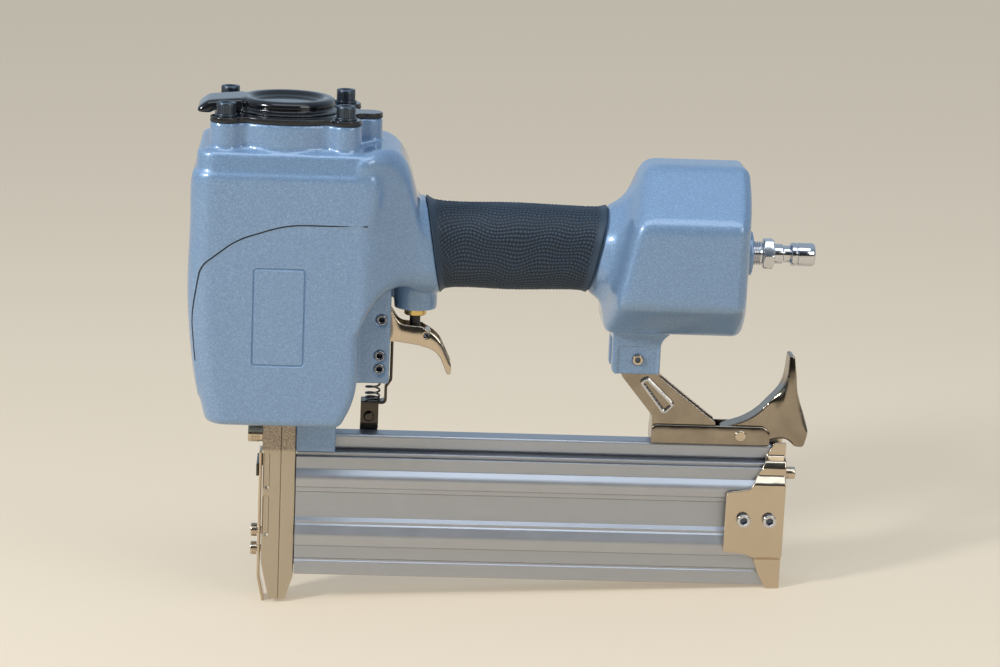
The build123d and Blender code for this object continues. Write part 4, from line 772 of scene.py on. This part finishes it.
def rounded_section(around, half_width, half_height, radius):
    """The point and the outward direction at a share of the way round a rounded rectangle, from its top."""
    flat = half_width - radius
    wall = half_height - radius
    quarter = flat + wall + radius * math.pi / 2
    quadrant, rest = divmod(around % 1.0 * 4 * quarter, quarter)
    run = rest if quadrant % 2 == 0 else quarter - rest
    turn = min(max((run - flat) / radius, 0.0), math.pi / 2)
    side = 1 if quadrant < 2 else -1
    upper = 1 if quadrant in (0, 3) else -1
    across = min(run, flat) + radius * math.sin(turn)
    up = wall + radius * math.cos(turn) - max(run - flat - radius * math.pi / 2, 0.0)
    return side * across, upper * up, side * math.sin(turn), upper * math.cos(turn)


def bead(along, run):
    """Height of the grip's beads, from 0 to 1: wavy rows along the handle, broken into beads."""
    row = run / ROW_PITCH + sum(
        share * math.sin(along / length + run / girth + start) for share, length, girth, start in ROW_WAVES
    )
    number = round(row)
    ridge = 0.5 + 0.5 * math.cos(2 * math.pi * row)
    share, turn = ROW_DRIFT
    offset = 0.5 * (number % 2) + share * math.sin(turn * number)
    share, length, turn = BEAD_DRIFT
    offset += share * math.sin(along / length + turn * number)
    grain = 0.5 + 0.5 * math.cos(2 * math.pi * (along / BEAD_PITCH + offset))
    return ridge * (BEAD_VALLEY + (1 - BEAD_VALLEY) * grain)


def grip_point(share, around):
    """A point of the grip at a share of its length and of the way round it, and its bead's height."""
    length = GRIP_STATIONS[-1][0]
    along = share * length
    lean, half_height, half_width = [smooth_between(GRIP_STATIONS, along, column) for column in (1, 2, 3)]
    across, up, out_across, out_up = rounded_section(around, half_width, half_height, half_width - GRIP_FLAT)
    edge = min(along, length - along)
    lip = max(GRIP_LIP - edge, 0.0) / GRIP_LIP
    lift = GRIP_LIP * (math.sqrt(1 - lip ** 2) - 1)
    cover = min(max((edge - GRIP_RIM) / GRIP_RIM, 0.0), 1.0)
    run = around * 2 * math.pi * (half_height + half_width) / 2
    top = bead(along, run)
    lift += cover * BEAD_HEIGHT * (top - BEAD_LEVEL)
    across += out_across * lift
    up += out_up * lift
    turn = math.radians(lean)
    place = (GRIP_FRONT + along + up * math.sin(turn), across, HANDLE_Z / MM + up * math.cos(turn))
    return Vector(place) * MM, 0.5 + cover * (top - 0.5)


def grip_sleeve():
    """The rubber grip: a sheet rolled round the handle and turned in at both rims."""
    bpy.ops.object.select_all(action="DESELECT")
    bpy.ops.mesh.primitive_grid_add(x_subdivisions=GRIP_RINGS, y_subdivisions=GRIP_SIDES, size=1)
    sleeve = bpy.context.object
    sleeve.name = "grip_sleeve"
    # Each point's bead height goes into the bead attribute, from which the grip rubber paints shade between
    # the beads and a sheen on their tops
    tops = sleeve.data.attributes.new("bead", "FLOAT", "POINT")
    for vertex, top in zip(sleeve.data.vertices, tops.data):
        vertex.co, top.value = grip_point(min(max(vertex.co.x + 0.5, 0.0), 1.0), vertex.co.y + 0.5)
    edit(sleeve)
    bpy.ops.mesh.remove_doubles(threshold=WELD)
    bpy.ops.mesh.select_mode(type="EDGE")
    bpy.ops.mesh.select_all(action="DESELECT")
    bpy.ops.mesh.select_non_manifold()
    bpy.ops.mesh.extrude_region_move()
    bpy.ops.transform.resize(value=(1, GRIP_TURN_IN, GRIP_TURN_IN), center_override=(0, 0, HANDLE_Z))
    bpy.ops.mesh.select_all(action="SELECT")
    bpy.ops.mesh.normals_make_consistent(inside=False)
    close()
    hand_over(sleeve, "handle_grip", angle=SOFT_ANGLE)


# Springs

def coil(name, node, axis, thickness, turns):
    """A spring of round wire, thickness its radius, in the CAD spring's place, its end turns closed up."""
    low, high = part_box(node)
    size = high - low
    along = "XYZ".index(axis)
    across, up = (along + 1) % 3, (along + 2) % 3
    radius = min(size[across], size[up]) / 2 - thickness
    rise = size[along] - 2 * thickness
    end_pitch = 2 * thickness + END_GAP
    bunch = max(0.0, (rise / turns - end_pitch) * turns / (2 * math.pi))
    steps = int(turns * TURN_POINTS)
    points = []
    for count in range(steps + 1):
        share = count / steps
        angle = 2 * math.pi * turns * share
        place = (low + high) / 2
        place[along] = low[along] + thickness + rise * share - bunch * math.sin(2 * math.pi * share)
        place[across] += radius * math.cos(angle)
        place[up] += radius * math.sin(angle)
        points.append(place)
    return hand_over(wire(name, points, thickness, 3), node, angle=SOFT_ANGLE)


def springs():
    head = coil("head_valve_coil", "head_valve_spring", "Z", 1.0 * MM, 4.0)
    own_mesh(head)
    valve = coil("valve_coil", "valve_spring", "Z", 0.35 * MM, 4.0)
    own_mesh(valve)
    safety = coil("safety_coil", "safety_spring", "Z", 0.55 * MM, 4.5)
    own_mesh(safety)
    pusher = coil("pusher_coil", "pusher_spring", "X", 0.4 * MM, 24.0)
    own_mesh(pusher)
    coil("latch_coil", "latch_spring", "Y", 0.4 * MM, 5.0)


# Steel pieces

def bowed(piece, rise, start):
    """Bows the piece's two sides outwards by rise at half their height, behind start."""
    spans = {}
    for vertex in piece.data.vertices:
        slice_number = math.floor(vertex.co.x / MM)
        low, high = spans.get(slice_number, (vertex.co.z, vertex.co.z))
        spans[slice_number] = (min(low, vertex.co.z), max(high, vertex.co.z))
    half_width = max(vertex.co.y for vertex in piece.data.vertices)
    for vertex in piece.data.vertices:
        along = vertex.co.x / MM - 0.5
        before = math.floor(along)
        share = along - before
        first = spans.get(before, spans.get(before + 1))
        second = spans.get(before + 1, first)
        low = first[0] + (second[0] - first[0]) * share
        high = first[1] + (second[1] - first[1]) * share
        height = (2 * vertex.co.z - low - high) / max(high - low, MM)
        grown = rising(vertex.co.x, start, start + BOW_GROWTH)
        side = min(max(vertex.co.y / (0.6 * half_width), -1.0), 1.0)
        vertex.co.y += side * rise * grown * max(1 - height ** 2, 0.0)


def lever_heel(place, start, full):
    """The round heel of the latch lever, from start to full ahead of its rear end."""
    low, high = LEVER_BOX
    top, bottom = HEEL_HEIGHTS
    below = rising(-place.z, -low.z - top, -low.z - bottom)
    return rising(place.x, high.x - start, high.x - full) * below


def swollen_heel(lever):
    """Fills out the heel, which the easing has drawn in, behind the tail bracket."""
    for vertex in lever.data.vertices:
        vertex.co += lever_heel(vertex.co, *HEEL_SWOLLEN) * HEEL_SWELLING


def painted_bead_highlight(arm):
    """Paints a highlight on the top of the arm's raised bead by giving it chrome."""
    arm.data.materials.append(FINISHES["chrome"])
    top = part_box("support_arm")[1].y - ARM_BEAD_TOP
    for face in arm.data.polygons:
        face.material_index = int(abs(face.center.y) > top)


def pressed(node, grain, passes=STEEL_PASSES, bow=0.0, start=-1.0, finish=None, rounded=None):
    """A CAD node with the soft edges of pressed and tumbled steel, its sides bowed behind start."""
    piece = copy_of(node, node + "_pressed")
    softened(piece, grain, passes)
    if rounded:
        eased(piece, HEEL_EASING, rounded)
    if bow:
        bowed(piece, bow, start)
    return hand_over(piece, node, angle=SOFT_ANGLE, finish=finish)


def broken_edges(node, finish=None):
    """A small turned or sawn CAD node with its sharp edges taken off."""
    piece = copy_of(node, node + "_finished")
    edit(piece)
    bpy.ops.mesh.dissolve_limited(angle_limit=math.radians(0.5))
    close()
    modify(piece, "BEVEL", width=FINE_EDGE, segments=2, limit_method="ANGLE", angle_limit=math.radians(35))
    modify(piece, "WEIGHTED_NORMAL", keep_sharp=True)
    hand_over(piece, node, finish=finish)


def steel_pieces():
    ground = ground_steel()
    for node in ("nose_guide", "nose_cover"):
        pressed(node, NOSE_GRAIN, finish=ground)
    pressed("contact_foot", SHEET_GRAIN)
    pressed("tail_bracket", BRACKET_GRAIN)
    # Painted shade: the latch and the support arm take a darker copy of the nickel plating
    nickel = nickel_in_painted_shade()
    deep_shade_nickel = nickel_in_deeper_painted_shade()
    # Painted shade: the safety's link and arm, and the link screw, take the most darkened copy of the nickel
    for node in ("safety_link", "safety_arm"):
        pressed(node, SHEET_GRAIN, finish=deep_shade_nickel)
    painted_bead_highlight(pressed("support_arm", BRACKET_GRAIN, finish=nickel))
    pressed("latch_bracket", SHEET_GRAIN, bow=BRACKET_BOW, finish=nickel)
    pressed("trigger", SHEET_GRAIN, LEVER_PASSES, TRIGGER_BOW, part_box("guide_block")[1].x)
    lever = pressed(
        "latch_lever", SHEET_GRAIN, LEVER_PASSES, LEVER_BOW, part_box("latch_bracket")[1].x, nickel,
        lambda place: lever_heel(place, *HEEL_EASED),
    )
    swollen_heel(lever)
    for node in ("latch_pin", "cap_washers", "nose_washers", "valve_bushing", "guide_block"):
        broken_edges(node)
    broken_edges("link_screw", deep_shade_nickel)


def roll_pins(node, *heights):
    """The hollow pins of a CAD node, which lie along Y at these heights."""
    bore = PIN_BORES[node]
    low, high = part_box(node)
    x = (low.x + high.x) / 2
    radius = (high.x - low.x) / 2
    pins = []
    for z in heights:
        pin = cylinder(node + "_rolled", radius, (x, low.y, z), (x, high.y, z), "Y", 40)
        pick(pin, lambda centre, normal: abs(normal.y) > 0.9)
        bpy.ops.mesh.inset(thickness=radius - bore, use_individual=True)
        bpy.ops.mesh.bridge_edge_loops()
        pick_edges(pin, lambda place: min(place.y - low.y, high.y - place.y) < WELD)
        bpy.ops.mesh.bevel(offset=PIN_EDGE * (radius - bore), segments=3)
        close()
        pins.append(pin)
    rolled = hand_over(joined(*pins), node, finish=FINISHES["chrome"])
    # Painted shade: the faces inside each pin's bore take dark black steel
    rolled.data.materials.append(FINISHES["black_steel"])
    for face in rolled.data.polygons:
        from_axis = min(Vector((face.center.x - x, face.center.z - z)).length for z in heights)
        face.material_index = int(from_axis < bore)


def pins():
    for node in ("trigger_pin", "idler_pin"):
        low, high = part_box(node)
        roll_pins(node, (low.z + high.z) / 2)
    low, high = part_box("guide_pins")
    radius = (high.x - low.x) / 2
    roll_pins("guide_pins", low.z + radius, high.z - radius)


# Socket screws

def socket_screw(name, head_radius, head_height, shank_radius, shank_length, knurls):
    """A socket screw along Z: its head stands on the origin and its shank goes down."""
    screw = cylinder(name, head_radius, (0, 0, 0), (0, 0, head_height), sides=3 * knurls)
    knurl_top = KNURL_TOP * head_height
    edit(screw)
    bpy.ops.mesh.bisect(plane_co=(0, 0, knurl_top), plane_no=(0, 0, 1))
    close()

    def groove(centre, normal):
        third = round((math.atan2(centre.y, centre.x) / (2 * math.pi)) % 1.0 * 3 * knurls - 0.5)
        return abs(normal.z) < 0.1 and centre.z < knurl_top and third % 3 == 0

    pick(screw, groove)
    bpy.ops.mesh.inset(
        thickness=KNURL_GAP * head_radius, depth=-KNURL_DEPTH * head_radius, use_individual=True,
    )
    pick_edges(screw, lambda place: place.z > head_height - WELD)
    bpy.ops.mesh.bevel(offset=HEAD_EDGE * head_radius, segments=3)
    pick(screw, lambda centre, normal: normal.z < -0.9 and centre.z < WELD and centre.xy.length < WELD)
    bpy.ops.mesh.inset(thickness=head_radius - shank_radius)
    bpy.ops.mesh.extrude_region_move(TRANSFORM_OT_translate={"value": (0, 0, -shank_length)})
    close()
    socket = SOCKET_RADIUS * head_radius
    key = cylinder("key", socket, (0, 0, SOCKET_BOTTOM * head_height), (0, 0, head_height * 1.2), sides=6)
    cut(screw, key)
    pick_edges(screw, lambda place: place.z > head_height - WELD and place.xy.length < socket + WELD)
    bpy.ops.mesh.bevel(offset=SOCKET_EDGE * head_radius, segments=1)
    close()
    return screw


def screw_set(node, places, head_radius, head_height, shank_radius, shank_length, knurls, finish=None):
    """The screws of a CAD node: one is made, and copied to each seat with its head towards a direction."""
    pattern = socket_screw(node + "_pattern", head_radius, head_height, shank_radius, shank_length, knurls)
    screws = []
    for seat, direction in places:
        screw = bpy.data.objects.new(node + "_socket", pattern.data.copy())
        bpy.context.scene.collection.objects.link(screw)
        turn = Vector((0, 0, 1)).rotation_difference(Vector(direction)).to_matrix().to_4x4()
        screw.matrix_world = Matrix.Translation(seat) @ turn
        settle(screw)
        screws.append(screw)
    bpy.data.objects.remove(pattern)
    sockets = hand_over(joined(*screws), node, finish=finish)
    # Painted shade: the faces inside each socket take dark black steel
    sockets.data.materials.append(FINISHES["black_steel"])
    for face in sockets.data.polygons:
        for seat, direction in places:
            offset = face.center - Vector(seat)
            along = offset.dot(Vector(direction))
            inside = (offset - along * Vector(direction)).length < SOCKET_INSIDE * head_radius
            if inside and WELD < along < SOCKET_TOP * head_height:
                face.material_index = 1


def cap_screws():
    low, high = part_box("cap_screws")
    head, height, *rest = SCREW_SIZES["cap_screws"]
    seats = [
        (x, y, high.z - height) for x in (low.x + head, high.x - head) for y in (low.y + head, high.y - head)
    ]
    screw_set("cap_screws", [(seat, (0, 0, 1)) for seat in seats], head, height, *rest)


def nose_screws():
    low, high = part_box("nose_screws")
    head, height, *rest = SCREW_SIZES["nose_screws"]
    seats = [(low.x + height, y, (low.z + high.z) / 2) for y in (low.y + head, high.y - head)]
    screw_set("nose_screws", [(seat, (-1, 0, 0)) for seat in seats], head, height, *rest)


def strip_screws():
    low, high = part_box("strip_screws")
    head, height, *rest = SCREW_SIZES["strip_screws"]
    seats = [(low.x + height, 0, z) for z in (low.z + head, high.z - head)]
    screw_set("strip_screws", [(seat, (-1, 0, 0)) for seat in seats], head, height, *rest)


def tail_screws():
    low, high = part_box("tail_screws")
    head, height, *rest = SCREW_SIZES["tail_screws"]
    z = (low.z + high.z) / 2
    places = []
    for x in (low.x + head, high.x - head):
        places += [((x, side * (high.y - height), z), (0, side, 0)) for side in (-1, 1)]
    screw_set("tail_screws", places, head, height, *rest, FINISHES["chrome"])


def lug_screw():
    low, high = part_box("lug_screw")
    middle = (low + high) / 2
    head, height = LUG_HEAD
    seat = (middle.x, low.y + height, middle.z)
    length = high.y - low.y - height
    screw_set("lug_screw", [(seat, (0, -1, 0))], head, height, THIN_SHANK, length, LUG_KNURLS)


def tail_stop():
    low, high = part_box("tail_stop_screw")
    middle = (low + high) / 2
    radius = (high.z - low.z) / 2
    seat = (low.x + TAIL_STOP_SHANK, middle.y, middle.z)
    height = high.x - low.x - TAIL_STOP_SHANK
    places = [(seat, (1, 0, 0))]
    screw_set("tail_stop_screw", places, radius, height, THIN_SHANK, TAIL_STOP_SHANK, TAIL_STOP_KNURLS)


# Air plug

def turned(name, profile, centre):
    """A piece turned about X through centre, from a closed profile of distances and radii in millimetres."""
    profile = [(along * MM, radius * MM) for along, radius in profile]
    bpy.ops.object.select_all(action="DESELECT")
    bpy.ops.mesh.primitive_plane_add(size=MM, location=centre)
    piece = bpy.context.object
    piece.name = name
    settle(piece)
    edit(piece)
    bpy.ops.mesh.select_mode(type="VERT")
    bpy.ops.mesh.select_all(action="SELECT")
    bpy.ops.mesh.merge(type="CENTER")
    along, radius = profile[0]
    bpy.ops.transform.translate(value=(along, 0, radius))
    for next_along, next_radius in (*profile[1:], profile[0]):
        step = (next_along - along, 0, next_radius - radius)
        bpy.ops.mesh.extrude_region_move(TRANSFORM_OT_translate={"value": step})
        along, radius = next_along, next_radius
    bpy.ops.mesh.select_all(action="SELECT")
    bpy.ops.mesh.spin(steps=72, angle=2 * math.pi, center=centre, axis=(1, 0, 0))
    bpy.ops.mesh.select_all(action="SELECT")
    bpy.ops.mesh.remove_doubles(threshold=WELD)
    bpy.ops.mesh.normals_make_consistent(inside=False)
    close()
    return piece


def air_plug():
    """The quick-connect plug: threaded end, chamfered hexagon, waist, catch groove and tip."""
    centre = Vector((plug_low.x, 0, HANDLE_Z))
    length = (plug_high.x - plug_low.x) / MM
    hex_start, hex_end = [length - back for back in HEX_ENDS]
    profile = []
    for count in range(int(hex_start / PLUG_PITCH)):
        profile += [(count * PLUG_PITCH + along, radius) for along, radius in PLUG_TOOTH]
    profile += [(length - back, radius) for back, radius in PLUG_PROFILE]
    profile.append((0.0, PLUG_BORE))
    plug = turned("air_plug_turned", profile, centre)
    nut_start = centre + Vector((hex_start * MM, 0, 0))
    nut_end = centre + Vector((hex_end * MM, 0, 0))
    nut = cylinder("plug_hexagon", HEX_WIDTH / 2 * MM / math.cos(math.pi / 6), nut_start, nut_end, "X", 6)
    cut(nut, turned("plug_chamfer", HEX_CHAMFER, nut_start), "INTERSECT")
    modify(plug, "BEVEL", width=0.12 * MM, segments=2, limit_method="ANGLE", angle_limit=math.radians(40))
    modify(nut, "BEVEL", width=0.15 * MM, segments=2, limit_method="ANGLE", angle_limit=math.radians(25))
    hand_over(joined(plug, nut), "air_plug")


# Stage

def photo_camera():
    lean = Matrix.Rotation(-TOOL_LEAN, 3, "Y")
    forward = Vector((
        math.sin(CAMERA_YAW) * math.cos(CAMERA_ELEVATION),
        math.cos(CAMERA_YAW) * math.cos(CAMERA_ELEVATION),
        -math.sin(CAMERA_ELEVATION),
    ))
    right = Vector((math.cos(CAMERA_YAW), -math.sin(CAMERA_YAW), 0.0))
    up = right.cross(forward)
    across = (NOSE_TIP_PIXEL[0] - IMAGE_WIDTH / 2) / FOCAL_PIXELS
    down = (NOSE_TIP_PIXEL[1] - IMAGE_HEIGHT / 2) / FOCAL_PIXELS
    place = lean @ (forward + right * across - up * down) * -NOSE_TIP_DISTANCE
    turn = (lean @ Matrix((right, up, -forward)).transposed()).to_4x4()
    lens = bpy.data.cameras.new("photo_camera")
    lens.sensor_width = SENSOR_WIDTH
    lens.lens = FOCAL_PIXELS / IMAGE_WIDTH * SENSOR_WIDTH
    camera = bpy.data.objects.new("photo_camera", lens)
    bpy.context.scene.collection.objects.link(camera)
    camera.matrix_world = Matrix.Translation(place) @ turn
    bpy.context.scene.camera = camera


def floor():
    """A pale floor through the lowest points of the contact foot and the tail bracket."""
    nose_low, nose_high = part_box("contact_foot")
    tail_low, tail_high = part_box("tail_bracket")
    rise = math.atan2(tail_low.z - nose_low.z, tail_high.x - nose_high.x)
    bpy.ops.object.select_all(action="DESELECT")
    bpy.ops.mesh.primitive_plane_add(
        size=FLOOR_SIZE, location=(nose_high.x, 0, nose_low.z), rotation=(0, -rise, 0),
    )
    ground = bpy.context.object
    ground.name = "floor"
    pale = Finish("floor")
    pale.shade(base_color=PALE_FLOOR, roughness=0.7)
    rays = ("Is Camera Ray", "Is Glossy Ray", "Is Transmission Ray")
    seen = [pale.node("ShaderNodeLightPath", output=ray) for ray in rays]
    glow = pale.node("ShaderNodeEmission", {}, {"Color": PALE_FLOOR, "Strength": 1.0}, "Emission")
    lit = Value(pale, pale.shader.outputs["BSDF"])
    share = (seen[0] + seen[1] + seen[2]) * FLOOR_GLOW
    shown = pale.node("ShaderNodeMixShader", {}, {"Fac": share, 1: lit, 2: glow})
    pale.feed(pale.tree.nodes["Material Output"].inputs["Surface"], shown)
    ground.data.materials.append(pale.material)


def softbox(target, name, offset, size, power, colour):
    """A rectangular lamp at an offset from its target."""
    lamp = bpy.data.lights.new(name, "AREA")
    lamp.shape = "RECTANGLE"
    lamp.size, lamp.size_y = size
    lamp.energy = power
    lamp.color = colour
    stand = bpy.data.objects.new(name, lamp)
    bpy.context.scene.collection.objects.link(stand)
    stand.location = target + Vector(offset)
    stand.rotation_euler = (-Vector(offset)).to_track_quat("-Z", "Y").to_euler()


def sky():
    """Light from all round, cool and bright above and behind, and dark in front."""
    world = bpy.data.worlds.new("sky")
    bpy.context.scene.world = world
    world.use_nodes = True
    air = Nodes(world.node_tree)
    towards = air.node("ShaderNodeTexCoord", output="Generated")
    lean = air.node("ShaderNodeVectorMath", {"operation": "DOT_PRODUCT"}, {0: towards, 1: SKY_LEAN}, "Value")
    background = air.tree.nodes["Background"]
    background.inputs["Strength"].default_value = SKY_STRENGTH
    bright = air.ramp(lean * 0.5 + 0.5, (0.3, 0.0), (0.8, 1.0))
    air.feed(background.inputs["Color"], air.mix(bright, SKY_DARK, SKY_BRIGHT))


def studio():
    middle = (cad_low + cad_high) / 2
    for lamp in LAMPS:
        softbox(middle, *lamp)
    sky()
    bpy.context.scene.view_settings.view_transform = "Standard"


dress_frame()
housing_skin()
tank_skin()
hood_shell()
grip_sleeve()
springs()
steel_pieces()
pins()
cap_screws()
nose_screws()
strip_screws()
tail_screws()
lug_screw()
tail_stop()
air_plug()
photo_camera()
floor()
studio()
